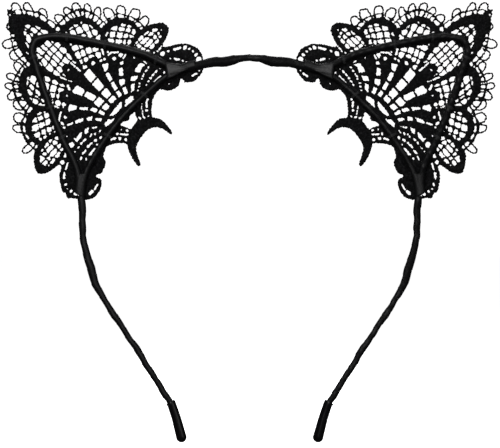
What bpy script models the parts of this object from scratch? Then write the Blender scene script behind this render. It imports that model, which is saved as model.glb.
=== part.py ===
"""Headband with two lace animal ears, on a spring wire wound with satin ribbon.

Upright as worn: +Z is up, +X is the viewer's right and +Y points away from the viewer.
The origin is the middle of the crown's underside, where the band rests on a head.
Lengths below are millimetres; MM turns them into Blender's metres.
"""

import math

import bmesh
import bpy
from mathutils import Matrix, Vector

MM = 0.001
OBJECT_NAME = "animal_ears_headband"
SIDES = {"left": -1, "right": 1}

# Wires and their ribbon sleeves
BAND_WIRE_RADIUS = 0.75
EAR_WIRE_RADIUS = 0.5
RIBBON_RADIUS = 1.4
SLEEVE_CLEARANCE = 0.3
FIT_GAP = 0.35
FOOT_SPACING = BAND_WIRE_RADIUS + EAR_WIRE_RADIUS + 0.15
BAND_STEP = 4.0
EAR_STEP = 3.0

# Half of the band's centre line (x, z), from the crown to the tip of the right leg
HALF_BAND = (
    (0, 1.2), (14.5, -0.2), (27, -3.5), (33, -5.9), (40.8, -12.4), (51.7, -23.3), (59.4, -33.7),
    (65, -43.3), (67.1, -49.8), (67.4, -56.5), (66.3, -70.6), (62.6, -86.2), (52.9, -103.3),
    (42.9, -119.4), (35.4, -131.1), (31, -138), (30, -142), (28.9, -146.5), (27.4, -152.6),
)
# The right ear's wire between its two feet (x, z), from the crown side over the ear's tip
EAR_BOW = (
    (32.2, -1.9), (36.9, 0.2), (42.4, 2.7), (58.9, 6.8), (75.3, 9.9), (82, 9.9), (85.9, 8.6),
    (87.1, 4.5), (85.2, -3), (79.7, -18.9), (73.7, -33.7), (70.6, -39.5), (68.9, -44.5),
)
INNER_FOOT_X = (20.9, 24, 27.3)
OUTER_FOOT_Z = (-49.5, -53.6)

# Corners where an ear's feet are lashed to the band, as lengths along each centre line
FOLD_WALL = 0.3
FOLD_HALF_DEPTH = 1.8
FOLD_MARGIN_NARROW = 1.8
FOLD_MARGIN_WIDE = 1.5
FOLD_SIDES = 14
FOLD_STATIONS = 7
INNER_FOLD_X = (21.3, 31.6)
OUTER_FOLD_Z = (-54.35, -44.8)
RIBBON_SETBACK = 0.9
THREAD_RADIUS = 0.17
LASHING_REACH = 1.05
LASHING_PITCH = 0.9
LASHING_TURNS = 3.5
LASHING_START = 1.6

# Where each leg flexes, just under the ear's outer corner
FLEX_Z = -54.85
FLEX_HALF_GAP = 0.25
FLEX_RIBBON_GAP = 0.75

# Crown ribbon radius at its middle, at the overlap of the winding and at its ends
CROWN_RADII = ((0, 1.2), (6, 1.3), (12, 1.7), (17, 1.35), (22, 1.35))

# Vinyl tip caps
CAP_LENGTH = 15.0
CAP_MOUTH_RADIUS = 1.62
CAP_END_RADIUS = 1.85
CAP_BORE_RADIUS = 1.42
CAP_BORE_DEPTH = 11.0
CAP_SEGMENTS = 16
CAP_RIBBON_INSET = 5.5
CAP_WIRE_INSET = 9.5
CAP_RIBBON_RADIUS = 1.2
CAP_TAPER_LENGTH = 9.0

# Lace ears: a flat panel behind the wires, drawn about its hub with v towards the ear's tip
LACE_FRONT = 1.95
LACE_THICKNESS = 1.0
LACE_HUB = (49.2, -24.0)
LACE_TILT = math.radians(47)
# The lace's corner by the leg is pulled in from the mirror image of its corner by the crown
LEG_CORNER_PULL = (2.8, -1.5)
TACK_THREAD_RADIUS = 0.15
TACK_HOLE_RADIUS = 0.42
TACK_HALF_WIDTH = 1.75
TACK_BACK_CLEARANCE = 0.3
EAR_TACKS = (17, 38.5, 54, 74, 95, 108)
BASE_TACKS = (46, 68)

# Half of the lace's outline (u, v), from the tip of the ear round to the crescent below
LEAF_EDGE = ((0, 65.5), (3.6, 63.8), (6.8, 59.5), (9.4, 54), (10.5, 49), (10.6, 47.2))
SCALLOP_ONE = (12.5, 35.5, 11.4)
SCALLOP_TWO = (23.7, 24.2, 10.0)
SIDE_LEAF_EDGE = (
    (34.6, 19.6), (37.2, 17.4), (39, 14.4), (38.3, 12.2), (35.6, 11.2), (32.6, 10.7),
    (32.2, 9.7), (34, 8.6), (36.8, 6.3), (39.4, 3.2), (40.8, 0.2), (40.9, -2), (39.9, -4.8),
)
LOBE_EDGE = (
    (38.6, -6.6), (36, -8.1), (33, -8.9), (30.5, -8.7), (28.4, -7.2), (27.6, -5.8),
    (27.2, -4.4), (25.6, -5.1), (23.4, -5.2), (21.2, -4.2), (19.7, -2.4), (18.8, -1.1),
    (15.4, -1), (12.6, -2.4), (9.6, -4.8), (8.6, -6.5),
)
CRESCENT_EDGE = (
    (9.4, -8.3), (10, -10.6), (9.8, -14), (8.8, -16.7), (8.1, -14.6), (7.3, -11.5),
    (5.6, -9.4), (3.6, -8.6), (0, -8.5),
)
# Edges of the gaps between neighbouring spokes, and where each gap is open along them
SPOKE_GAPS = (
    (((1, 9), (2.1, 27)), ((2.3, 9), (6.6, 26)), ((0.18, 0.36), (0.42, 0.64), (0.7, 0.95))),
    (((3.8, 9), (10.6, 25)), ((5, 8.6), (13.6, 21.5)), ((0.16, 0.36), (0.44, 0.64), (0.72, 0.95))),
    (((7, 8.4), (16.6, 19)), ((8, 7.6), (18.8, 14.8)), ((0.2, 0.5), (0.6, 0.95))),
    (((10.4, 7.4), (20.6, 12.6)), ((11, 6.6), (21.6, 9.8)), ((0.25, 0.6), (0.7, 0.98))),
)
LEAF_NET_COLUMNS = ((0.4, 2.6), (3.1, 5.4))
LEAF_NET_ROWS = ((32.5, 35.5), (36.1, 39.1), (39.7, 42.7), (50.2, 53.2))
SCALLOP_WINDOWS = ((12.5, 35.5, 1.1, 5.2), (23.7, 24.2, 1.0, 4.4))
WINDOW_BAR = 0.5
SMALL_HOLES = (
    ((3.6, 4.6), (8.2, 4.4), (8.6, 5.4), (3.6, 6.3)),
    ((4.2, -3.2), (5, -3.4), (5.2, -2.2), (4.5, -2)),
    ((6.6, -2.6), (7.2, -2.8), (7.9, -1.7), (7.3, -1.5)),
    ((10, -1.7), (11, -1.6), (11.2, -0.8), (10.5, -0.7)),
    ((16, 4.1), (24, 4.7), (24, 5.5), (16, 4.8)),
    ((27.2, 13), (29.8, 12.6), (29.8, 17), (27.4, 17.4)),
    ((30.6, 12.7), (33.6, 13.2), (34, 16.4), (30.6, 17)),
    ((29, 8.2), (30.6, 7.3), (30.8, 8.3), (29.6, 8.9)),
    ((33.6, 5.8), (35.8, 4.2), (36.4, 4.9), (34.2, 6.6)),
    ((37.9, -2.4), (39.3, -2.4), (39.3, -1.5), (38.1, -1.5)),
    ((31.3, 3.2), (32.6, 1.2), (33.2, 1.8), (31.9, 3.6)),
    ((30.6, -6.6), (32.6, -7.2), (32.6, -6.5), (31.2, -6.1)),
)
HUB_HOLE = ((-4, 0.3), (-3.3, -2.8), (3.3, -2.8), (4, 0.3))
BASE_HOLE = ((-2.4, 4.9), (2.4, 4.9), (2.4, 6.5), (-2.4, 6.5))


def clear_scene():
    for item in list(bpy.data.objects):
        bpy.data.objects.remove(item, do_unlink=True)


def make_collection(name):
    group = bpy.data.collections.new(name)
    bpy.context.scene.collection.children.link(group)
    return group


def make_material(name, color, roughness, metallic):
    material = bpy.data.materials.new(name)
    material.use_nodes = True
    shader = material.node_tree.nodes["Principled BSDF"]
    shader.inputs["Base Color"].default_value = (*color, 1)
    shader.inputs["Roughness"].default_value = roughness
    shader.inputs["Metallic"].default_value = metallic
    return material


def make_materials():
    return {
        "satin": make_material("black_satin_ribbon", (0.022, 0.022, 0.024), 0.42, 0),
        "lace": make_material("black_lace_thread", (0.012, 0.012, 0.013), 0.8, 0),
        "thread": make_material("black_sewing_thread", (0.016, 0.016, 0.017), 0.7, 0),
        "wire": make_material("spring_steel_wire", (0.42, 0.42, 0.44), 0.35, 1),
        "vinyl": make_material("black_vinyl_cap", (0.01, 0.01, 0.011), 0.25, 0),
    }


class CentreLine:
    """A smooth line through points (x, z), read by the length along it."""

    SAMPLES = 16

    def __init__(self, points):
        knots = [Vector(point) for point in points]
        knots = [2 * knots[0] - knots[1], *knots, 2 * knots[-1] - knots[-2]]
        self.points = []
        for index in range(1, len(knots) - 2):
            for sample in range(self.SAMPLES):
                self.points.append(self.between(knots[index - 1:index + 3], sample / self.SAMPLES))
        self.points.append(knots[-2])
        self.lengths = [0.0]
        for before, after in zip(self.points, self.points[1:]):
            self.lengths.append(self.lengths[-1] + (after - before).length)

    @staticmethod
    def between(knots, fraction):
        """The centripetal Catmull-Rom point between the middle two of four knots."""
        times = [0.0]
        for before, after in zip(knots, knots[1:]):
            times.append(times[-1] + math.sqrt((after - before).length))
        now = times[1] + fraction * (times[2] - times[1])

        def mix(first, second, start, end):
            return first.lerp(second, (now - start) / (end - start))

        near = [mix(knots[i], knots[i + 1], times[i], times[i + 1]) for i in range(3)]
        wide = [mix(near[i], near[i + 1], times[i], times[i + 2]) for i in range(2)]
        return mix(wide[0], wide[1], times[1], times[2])

    @property
    def length(self):
        return self.lengths[-1]

    def at(self, distance):
        for index in range(1, len(self.lengths)):
            if self.lengths[index] >= distance or index == len(self.lengths) - 1:
                start, end = self.lengths[index - 1], self.lengths[index]
                share = (distance - start) / (end - start)
                return self.points[index - 1].lerp(self.points[index], share)

    def direction(self, distance):
        reach = 0.5
        return (self.at(distance + reach) - self.at(distance - reach)).normalized()

    def where(self, axis, value):
        """The first length at which the line crosses x = value or z = value."""
        for index in range(1, len(self.points)):
            start, end = self.points[index - 1][axis], self.points[index][axis]
            if start != end and (start - value) * (end - value) <= 0:
                share = (value - start) / (end - start)
                run = self.lengths[index] - self.lengths[index - 1]
                return self.lengths[index - 1] + share * run

    def stretch(self, start, end, step):
        """Lengths from start to end, on one grid so that pieces on the line stay coaxial."""
        inside = [k * step for k in range(math.ceil(start / step), math.ceil(end / step))]
        inside = [s for s in inside if start + 0.2 * step < s < end - 0.2 * step]
        return [start, *inside, end]


def in_space(point, side=1, depth=0.0):
    """A drawing point (x, z) in metres, mirrored on the left side."""
    return Vector((side * point[0] * MM, depth * MM, point[1] * MM))


def sideways(direction):
    """The unit vector across a direction in the drawing, to its left."""
    return Vector((-direction[1], direction[0]))


def add_object(name, data, material, group):
    item = bpy.data.objects.new(name, data)
    data.materials.append(material)
    group.objects.link(item)
    return item


def tube_curve(name, points, radii, sides_setting, capped, closed=False):
    """A curve object data block swept through points given in metres."""
    curve = bpy.data.curves.new(name, "CURVE")
    curve.dimensions = "3D"
    curve.bevel_depth = max(radii) * MM
    curve.bevel_resolution = sides_setting
    curve.use_fill_caps = capped
    curve.twist_mode = "MINIMUM"
    spline = curve.splines.new("POLY")
    spline.points.add(len(points) - 1)
    for slot, point, radius in zip(spline.points, points, radii):
        slot.co = (*point, 1)
        slot.radius = radius / max(radii)
    spline.use_cyclic_u = closed
    spline.use_smooth = True
    return curve


def as_mesh(item):
    """The object as a welded mesh of its own, in place of its curve."""
    graph = bpy.context.evaluated_depsgraph_get()
    mesh = bpy.data.meshes.new_from_object(item.evaluated_get(graph))
    body = bmesh.new()
    body.from_mesh(mesh)
    bmesh.ops.remove_doubles(body, verts=body.verts, dist=1e-6)
    body.to_mesh(mesh)
    body.free()
    solid = bpy.data.objects.new(item.name, mesh)
    solid.matrix_world = item.matrix_world
    item.users_collection[0].objects.link(solid)
    name = item.name
    bpy.data.objects.remove(item, do_unlink=True)
    solid.name = name
    return solid


def add_wire(name, points, radius, material, group):
    curve = tube_curve(name, points, [radius] * len(points), 1, True)
    return add_object(name, curve, material, group)


def add_sleeve(name, points, radii, wall, material, group):
    """A ribbon winding: a tube open at both ends, its wall grown inwards."""
    curve = tube_curve(name, points, radii, 2, False)
    sleeve = as_mesh(add_object(name, curve, material, group))
    sleeve.data.shade_smooth()
    sleeve.data.set_sharp_from_angle(angle=math.radians(50))
    grow_inwards(sleeve, wall)
    return sleeve


def grow_inwards(item, wall):
    solidify = item.modifiers.new("wall", "SOLIDIFY")
    solidify.thickness = wall * MM
    solidify.offset = -1


def ramp(distance, stops):
    """A value read between (distance, value) stops."""
    for (start, low), (end, high) in zip(stops, stops[1:]):
        if distance <= end:
            return low + (high - low) * (distance - start) / (end - start)
    return stops[-1][1]


class Corner:
    """Where an ear wire's foot lies along the band: matching lengths on both lines."""

    def __init__(self, band, ear, band_ends, ear_ends):
        self.band = band
        self.ear = ear
        self.band_ends = band_ends
        self.ear_ends = ear_ends

    def pair(self, share):
        """The band's point and the ear wire's point at a share of the way along the corner."""
        band_at = self.band_ends[0] + share * (self.band_ends[1] - self.band_ends[0])
        ear_at = self.ear_ends[0] + share * (self.ear_ends[1] - self.ear_ends[0])
        return self.band.at(band_at), self.ear.at(ear_at)


def make_band():
    return CentreLine(HALF_BAND)


def make_ear(band):
    """The ear wire's line, whose feet run beside the band at FOOT_SPACING."""
    inner = []
    for x in INNER_FOOT_X:
        at = band.where(0, x)
        inner.append(band.at(at) + FOOT_SPACING * sideways(band.direction(at)))
    outer = []
    for z in OUTER_FOOT_Z:
        at = band.where(1, z)
        outer.append(band.at(at) + FOOT_SPACING * sideways(band.direction(at)))
    return CentreLine([*inner, *EAR_BOW, *outer])


def nearest(line, point):
    """The length along the line at which it passes closest to a point."""
    gaps = [(candidate - point).length for candidate in line.points]
    return line.lengths[gaps.index(min(gaps))]


def make_corners(band, ear):
    corners = {}
    for name, axis, ends in (("inner", 0, INNER_FOLD_X), ("outer", 1, OUTER_FOLD_Z)):
        band_ends = [band.where(axis, value) for value in ends]
        ear_ends = [nearest(ear, band.at(at)) for at in band_ends]
        corners[name] = Corner(band, ear, band_ends, ear_ends)
    return corners


def fold_ring(corner, share, side):
    """One oval section of a corner fold, round both wires."""
    on_band, on_ear = corner.pair(share)
    middle = (on_band + on_ear) / 2
    across = (on_ear - on_band).normalized()
    margin = FOLD_MARGIN_NARROW + share * (FOLD_MARGIN_WIDE - FOLD_MARGIN_NARROW)
    half_width = (on_ear - on_band).length / 2 + margin
    ring = []
    for index in range(FOLD_SIDES):
        turn = 2 * math.pi * index / FOLD_SIDES
        flat = middle + half_width * math.cos(turn) * across
        ring.append(in_space(flat, side, FOLD_HALF_DEPTH * math.sin(turn)))
    return ring


def add_fold(name, corner, side, material, group):
    """A satin gusset round the corner: oval sections lofted into a tube, open at its ends."""
    body = bmesh.new()
    rings = []
    for station in range(FOLD_STATIONS):
        ring = fold_ring(corner, station / (FOLD_STATIONS - 1), side)
        rings.append([body.verts.new(point) for point in ring])
    for before, after in zip(rings, rings[1:]):
        for index in range(FOLD_SIDES):
            beside = (index + 1) % FOLD_SIDES
            body.faces.new((before[index], before[beside], after[beside], after[index]))
    face_outwards(body, rings)
    mesh = bpy.data.meshes.new(name)
    body.to_mesh(mesh)
    body.free()
    mesh.shade_smooth()
    fold = add_object(name, mesh, material, group)
    grow_inwards(fold, FOLD_WALL)
    return fold


def face_outwards(body, rings):
    """Turn a lofted tube's faces away from the middle of its first section."""
    middle = sum((vert.co for vert in rings[0]), Vector()) / len(rings[0])
    body.normal_update()
    face = rings[0][0].link_faces[0]
    if face.normal.dot(face.calc_center_median() - middle) < 0:
        bmesh.ops.reverse_faces(body, faces=body.faces)


def lashing_points(corner, side):
    """A thread wound round the band wire and the ear wire's foot, as an oval coil."""
    points = []
    steps_a_turn = 10
    run = corner.band_ends[1] - corner.band_ends[0]
    for step in range(round(LASHING_TURNS * steps_a_turn) + 1):
        turns = step / steps_a_turn
        share = (LASHING_START + turns * LASHING_PITCH) / abs(run)
        on_band, on_ear = corner.pair(share)
        across = (on_ear - on_band).normalized()
        angle = 2 * math.pi * turns
        end = on_ear if math.cos(angle) >= 0 else on_band
        flat = end + LASHING_REACH * math.cos(angle) * across
        points.append(in_space(flat, side, LASHING_REACH * math.sin(angle)))
    return points


def add_corner(place, corner, side_name, materials, group):
    side = SIDES[side_name]
    add_fold(f"fold_{place}_{side_name}", corner, side, materials["satin"], group)
    add_wire(f"lashing_{place}_{side_name}", lashing_points(corner, side), THREAD_RADIUS,
             materials["thread"], group)


def line_points(line, distances, side):
    return [in_space(line.at(distance), side) for distance in distances]


def add_crown(band, corners, flex, materials, group):
    """The middle wire, from one flex point over the crown to the other, and its ribbon."""
    half = band.stretch(0, flex - FLEX_HALF_GAP, BAND_STEP)
    points = line_points(band, reversed(half[1:]), -1) + line_points(band, half, 1)
    add_wire("crown_wire", points, BAND_WIRE_RADIUS, materials["wire"], group)
    half = band.stretch(0, corners["inner"].band_ends[0] - FIT_GAP, BAND_STEP)
    points = line_points(band, reversed(half[1:]), -1) + line_points(band, half, 1)
    radii = [ramp(distance, CROWN_RADII) for distance in half]
    wall = RIBBON_RADIUS - BAND_WIRE_RADIUS - SLEEVE_CLEARANCE
    add_sleeve("crown_ribbon", points, [*reversed(radii[1:]), *radii], wall,
               materials["satin"], group)


def add_ear_frame(band, ear, corners, side_name, materials, group):
    """The wire bow of one ear, its ribbon, and the ribbon on the band under the ear."""
    side = SIDES[side_name]
    inner, outer = corners["inner"], corners["outer"]
    clear = 2 * FIT_GAP
    feet = ear.stretch(clear, ear.length - clear, EAR_STEP)
    add_wire(f"ear_wire_{side_name}", line_points(ear, feet, side), EAR_WIRE_RADIUS,
             materials["wire"], group)
    bow = ear.stretch(inner.ear_ends[1] + RIBBON_SETBACK, outer.ear_ends[1] - RIBBON_SETBACK, EAR_STEP)
    wall = RIBBON_RADIUS - EAR_WIRE_RADIUS - SLEEVE_CLEARANCE
    add_sleeve(f"ear_ribbon_{side_name}", line_points(ear, bow, side), [RIBBON_RADIUS] * len(bow),
               wall, materials["satin"], group)
    base = band.stretch(inner.band_ends[1] + RIBBON_SETBACK, outer.band_ends[1] - RIBBON_SETBACK,
                        BAND_STEP)
    wall = RIBBON_RADIUS - BAND_WIRE_RADIUS - SLEEVE_CLEARANCE
    add_sleeve(f"base_ribbon_{side_name}", line_points(band, base, side),
               [RIBBON_RADIUS] * len(base), wall, materials["satin"], group)


def add_leg(band, flex, side_name, materials, group):
    """One leg of the band below its flex point, with its ribbon and its tip cap."""
    side = SIDES[side_name]
    mouth = band.length - CAP_LENGTH
    parent = bpy.data.objects.new(f"flex_{side_name}", None)
    parent.location = in_space(band.at(flex), side)
    group.objects.link(parent)
    wire = band.stretch(flex + FLEX_HALF_GAP, mouth + CAP_WIRE_INSET, BAND_STEP)
    pieces = [add_wire(f"leg_wire_{side_name}", line_points(band, wire, side), BAND_WIRE_RADIUS,
                       materials["wire"], group)]
    ribbon = band.stretch(flex + FLEX_RIBBON_GAP, mouth + CAP_RIBBON_INSET, BAND_STEP)
    taper = ((0, RIBBON_RADIUS), (mouth - CAP_TAPER_LENGTH, RIBBON_RADIUS),
             (mouth - 1, CAP_RIBBON_RADIUS), (band.length, CAP_RIBBON_RADIUS))
    wall = RIBBON_RADIUS - BAND_WIRE_RADIUS - SLEEVE_CLEARANCE
    pieces.append(add_sleeve(f"leg_ribbon_{side_name}", line_points(band, ribbon, side),
                             [ramp(distance, taper) for distance in ribbon], wall,
                             materials["satin"], group))
    pieces.append(add_cap(f"tip_cap_{side_name}", band, side, materials["vinyl"], group))
    for piece in pieces:
        piece.parent = parent
        piece.matrix_parent_inverse = Matrix.Translation(-parent.location)


def cap_profile():
    """The cap's half section (radius, height) from its rounded end round to its bore's bottom."""
    profile = [(0, CAP_LENGTH)]
    for step in range(1, 6):
        turn = math.radians(90 - 18 * step)
        profile.append((CAP_END_RADIUS * math.cos(turn),
                        CAP_LENGTH - CAP_END_RADIUS * (1 - math.sin(turn))))
    profile.append((CAP_MOUTH_RADIUS + 0.06, 1.2))
    profile.append((CAP_MOUTH_RADIUS, 0))
    profile.append((CAP_BORE_RADIUS, 0))
    profile.append((CAP_BORE_RADIUS, CAP_BORE_DEPTH))
    profile.append((0, CAP_BORE_DEPTH))
    return profile


def add_cap(name, band, side, material, group):
    """A dipped vinyl cap, turned about the band's straight end."""
    mesh = bpy.data.meshes.new(name)
    profile = cap_profile()
    mesh.from_pydata([(radius * MM, 0, height * MM) for radius, height in profile],
                     [(i, i + 1) for i in range(len(profile) - 1)], [])
    cap = add_object(name, mesh, material, group)
    mouth = in_space(band.at(band.length - CAP_LENGTH), side)
    end = in_space(band.at(band.length), side)
    cap.location = mouth
    cap.rotation_mode = "QUATERNION"
    cap.rotation_quaternion = (end - mouth).to_track_quat("Z", "Y")
    screw = cap.modifiers.new("turn", "SCREW")
    screw.axis = "Z"
    screw.steps = CAP_SEGMENTS
    screw.render_steps = CAP_SEGMENTS
    screw.use_merge_vertices = True
    screw.merge_threshold = 0.00001
    screw.use_smooth_shade = True
    return cap


def smooth_share(value):
    value = min(max(value, 0), 1)
    return value * value * (3 - 2 * value)


def lace_point(drawn):
    """A point (u, v) of the lace's own drawing as (x, z) on the right ear."""
    u, v = drawn
    pull = smooth_share((-u - 12) / 16) * smooth_share((14 - v) / 6)
    u += pull * LEG_CORNER_PULL[0]
    v += pull * LEG_CORNER_PULL[1]
    x = LACE_HUB[0] - u * math.cos(LACE_TILT) + v * math.sin(LACE_TILT)
    z = LACE_HUB[1] + u * math.sin(LACE_TILT) + v * math.cos(LACE_TILT)
    return Vector((x, z))


def arc(circle, start, end, count):
    """Points round a circle (u, v, radius) between two angles in degrees."""
    u, v, radius = circle
    points = []
    for index in range(count):
        angle = math.radians(start + (end - start) * index / (count - 1))
        points.append((u + radius * math.cos(angle), v + radius * math.sin(angle)))
    return points


def flip(points):
    return [(-u, v) for u, v in points]


def lace_outline():
    half = [*LEAF_EDGE, *arc(SCALLOP_ONE, 82, 4, 8), *arc(SCALLOP_TWO, 72, -14, 8),
            *SIDE_LEAF_EDGE, *LOBE_EDGE, *CRESCENT_EDGE]
    return half + flip(reversed(half[1:-1]))


def spoke_gap_holes():
    """The open stretches of each gap between two spokes, as four-cornered holes."""
    holes = []
    for (near, far), (low, high), stretches in SPOKE_GAPS:
        first = [Vector(near), Vector(far)]
        second = [Vector(low), Vector(high)]
        for start, end in stretches:
            holes.append([first[0].lerp(first[1], start), second[0].lerp(second[1], start),
                          second[0].lerp(second[1], end), first[0].lerp(first[1], end)])
    return holes


def net_holes():
    holes = []
    for left, right in LEAF_NET_COLUMNS:
        for low, high in LEAF_NET_ROWS:
            holes.append([(left, low), (right, low), (right, high), (left, high)])
    return holes


def scallop_holes():
    """Each scallop's round net as four windows with a cross of bars between them."""
    holes = []
    for u, v, inner, outer in SCALLOP_WINDOWS:
        for quarter in range(4):
            spare = math.degrees(WINDOW_BAR / outer)
            start, end = 90 * quarter + spare, 90 * quarter + 90 - spare
            hole = arc((u, v, outer), start, end, 4)
            hole.append(arc((u, v, inner), start + 45 - spare, end, 2)[0])
            holes.append(hole)
    return holes


def tack_places(band, ear):
    """Where each thread tack ties a ribbon to the lace: a place and the line's direction."""
    places = [(ear.at(distance), ear.direction(distance)) for distance in EAR_TACKS]
    places += [(band.at(distance), band.direction(distance)) for distance in BASE_TACKS]
    return places


def tack_holes(places):
    """Two thread holes beside the ribbon at each tack, as (x, z) outlines."""
    holes = []
    for place, direction in places:
        for way in (-1, 1):
            middle = place + way * TACK_HALF_WIDTH * sideways(direction)
            holes.append([Vector(point) for point in arc((*middle, TACK_HOLE_RADIUS), 0, 300, 6)])
    return holes


def add_lace(band, ear, side_name, material, group):
    """One lace ear: its flat outline with its openings, cut from one thickness of lace."""
    side = SIDES[side_name]
    half_holes = [*spoke_gap_holes(), *net_holes(), *scallop_holes(), *SMALL_HOLES]
    drawn = [lace_outline(), HUB_HOLE, BASE_HOLE, *half_holes, *[flip(hole) for hole in half_holes]]
    outlines = [[lace_point(point) for point in outline] for outline in drawn]
    outlines += tack_holes(tack_places(band, ear))
    curve = bpy.data.curves.new(f"lace_{side_name}", "CURVE")
    curve.dimensions = "2D"
    curve.fill_mode = "BOTH"
    curve.extrude = LACE_THICKNESS / 2 * MM
    for outline in outlines:
        spline = curve.splines.new("POLY")
        spline.points.add(len(outline) - 1)
        for slot, point in zip(spline.points, outline):
            slot.co = (side * point[0] * MM, point[1] * MM, 0, 1)
        spline.use_cyclic_u = True
    lace = add_object(f"lace_{side_name}", curve, material, group)
    lace.rotation_euler = (math.pi / 2, 0, 0)
    lace.location = (0, (LACE_FRONT + LACE_THICKNESS / 2) * MM, 0)
    return lace


def tack_loop(place, direction, side):
    """A loop of thread over the ribbon, through the lace and across its back."""
    across = sideways(direction)
    back = LACE_FRONT + LACE_THICKNESS + TACK_BACK_CLEARANCE
    points = []
    for step in range(9):
        turn = math.pi * step / 8
        flat = place + TACK_HALF_WIDTH * math.cos(turn) * across
        points.append(in_space(flat, side, -TACK_HALF_WIDTH * math.sin(turn)))
    for share in (-1, -0.6, 0.6, 1):
        flat = place + TACK_HALF_WIDTH * share * across
        depth = back if abs(share) < 1 else back - 0.4
        points.append(in_space(flat, side, depth))
    return points


def add_tacks(band, ear, side_name, material, group):
    for number, (place, direction) in enumerate(tack_places(band, ear), start=1):
        name = f"tack_{side_name}_{number}"
        points = tack_loop(place, direction, SIDES[side_name])
        curve = tube_curve(name, points, [TACK_THREAD_RADIUS] * len(points), 0, False, closed=True)
        add_object(name, curve, material, group)


def main():
    clear_scene()
    group = make_collection(OBJECT_NAME)
    materials = make_materials()
    band = make_band()
    ear = make_ear(band)
    corners = make_corners(band, ear)
    flex = band.where(1, FLEX_Z)
    add_crown(band, corners, flex, materials, group)
    for side_name in SIDES:
        add_ear_frame(band, ear, corners, side_name, materials, group)
        for place, corner in corners.items():
            add_corner(place, corner, side_name, materials, group)
        add_lace(band, ear, side_name, materials["lace"], group)
        add_tacks(band, ear, side_name, materials["thread"], group)
        add_leg(band, flex, side_name, materials, group)


main()
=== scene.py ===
"""Looks of the lace-eared headband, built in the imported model's frame.

+Z is up, +X is the viewer's right and +Y points away from the viewer. Sizes here are millimetres
and MM turns them into metres. One lace motif is drawn for the right ear and mirrored for the left.
"""

import math
import random

import bpy
import numpy as np
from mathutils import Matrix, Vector


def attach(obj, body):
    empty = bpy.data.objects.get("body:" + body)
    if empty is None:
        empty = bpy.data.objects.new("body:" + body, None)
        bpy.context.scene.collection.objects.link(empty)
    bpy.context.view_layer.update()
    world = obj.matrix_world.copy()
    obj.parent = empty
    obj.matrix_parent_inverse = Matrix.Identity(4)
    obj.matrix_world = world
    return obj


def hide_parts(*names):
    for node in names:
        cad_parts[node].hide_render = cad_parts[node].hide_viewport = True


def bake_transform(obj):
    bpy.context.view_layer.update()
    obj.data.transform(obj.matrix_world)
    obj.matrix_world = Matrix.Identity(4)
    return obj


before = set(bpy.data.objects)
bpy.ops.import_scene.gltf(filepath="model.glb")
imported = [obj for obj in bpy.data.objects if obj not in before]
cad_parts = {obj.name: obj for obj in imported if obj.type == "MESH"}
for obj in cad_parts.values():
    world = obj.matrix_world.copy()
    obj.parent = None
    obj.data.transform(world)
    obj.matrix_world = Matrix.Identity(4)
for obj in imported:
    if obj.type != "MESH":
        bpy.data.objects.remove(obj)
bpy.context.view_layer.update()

MM = 0.001
SIDES = {"left": -1, "right": 1}

# The band's and the ear wire's lines (x, z), as the CAD has them
HALF_BAND = (
    (0, 1.2), (14.5, -0.2), (27, -3.5), (33, -5.9), (40.8, -12.4), (51.7, -23.3), (59.4, -33.7),
    (65, -43.3), (67.1, -49.8), (67.4, -56.5), (66.3, -70.6), (62.6, -86.2), (52.9, -103.3),
    (42.9, -119.4), (35.4, -131.1), (31, -138), (30, -142), (28.9, -146.5), (27.4, -152.6),
)
EAR_BOW = (
    (32.2, -1.9), (36.9, 0.2), (42.4, 2.7), (58.9, 6.8), (75.3, 9.7), (81.8, 9.4), (85.6, 8.1),
    (87.1, 4.5), (85.2, -3), (79.7, -18.9), (73.7, -33.7), (70.6, -39.5), (68.9, -44.5),
)
INNER_FOOT_X = (20.9, 24, 27.3)
OUTER_FOOT_Z = (-49.5, -53.6)
FOOT_SPACING = 1.4
FLEX_Z = -54.85

# Ribbon winding
RIBBON_RADIUS = 1.4
BASE_RADIUS = 1.15
CROWN_RADII = ((0, 1.37), (4, 1.44), (6.4, 1.94), (8.8, 2.1), (13.6, 2.05), (18.4, 1.83),
               (24, 1.45))
CROWN_SAG = ((0, -0.08), (4, 0), (6.4, 0.36), (8.8, 0.72), (11.2, 0.78), (13.6, 0.42), (16, 0.2),
             (18.4, 0.3), (24, 0.1))
LAP = 0.14
WRAP_PITCH = 6.2
CRUMPLE_HEIGHT = 0.08
# How the legs' winding wanders sideways and swells, by the depth below the origin
LEG_SWAY = (
    (55, 0), (57.2, -0.23), (60.4, -0.42), (63.6, -0.05), (66.8, 0.02), (70, 0.45), (73.2, 0.35),
    (76.4, 0.18), (79.6, -0.03), (82.8, -0.3), (86, 0.05), (89.2, 0.5), (92.4, 0.5), (95.6, 0.4),
    (98.8, 0.58), (102, 0.48), (105.2, 0), (108.4, 0.06), (111.6, 0), (114.8, -0.44), (118, -0.37),
    (121.2, 0.04), (124.4, -0.2), (130.8, -0.1), (134, 0.22), (137.2, -0.02), (140.4, -0.28),
    (143.6, -0.45), (147, -0.54), (154, -0.58),
)
LEG_RADII = (
    (54, 1.45), (57.2, 1.6), (60.4, 1.52), (63.6, 1.38), (66.8, 1.5), (70, 1.34), (76.4, 1.48),
    (82.8, 1.72), (89.2, 1.56), (95.6, 1.2), (98.8, 1.24), (102, 1.46), (105.2, 1.2), (111.6, 1.2),
    (114.8, 1.38), (118, 1.34), (121.2, 1.26), (124.4, 1.33), (127.6, 1.22), (130.8, 1.33),
    (134, 1.38), (136.6, 1.2), (154, 1.2),
)
LEG_BEND_LENGTH = 66.0
CORE_RADIUS = 0.75
RING_SIDES = 36

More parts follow.
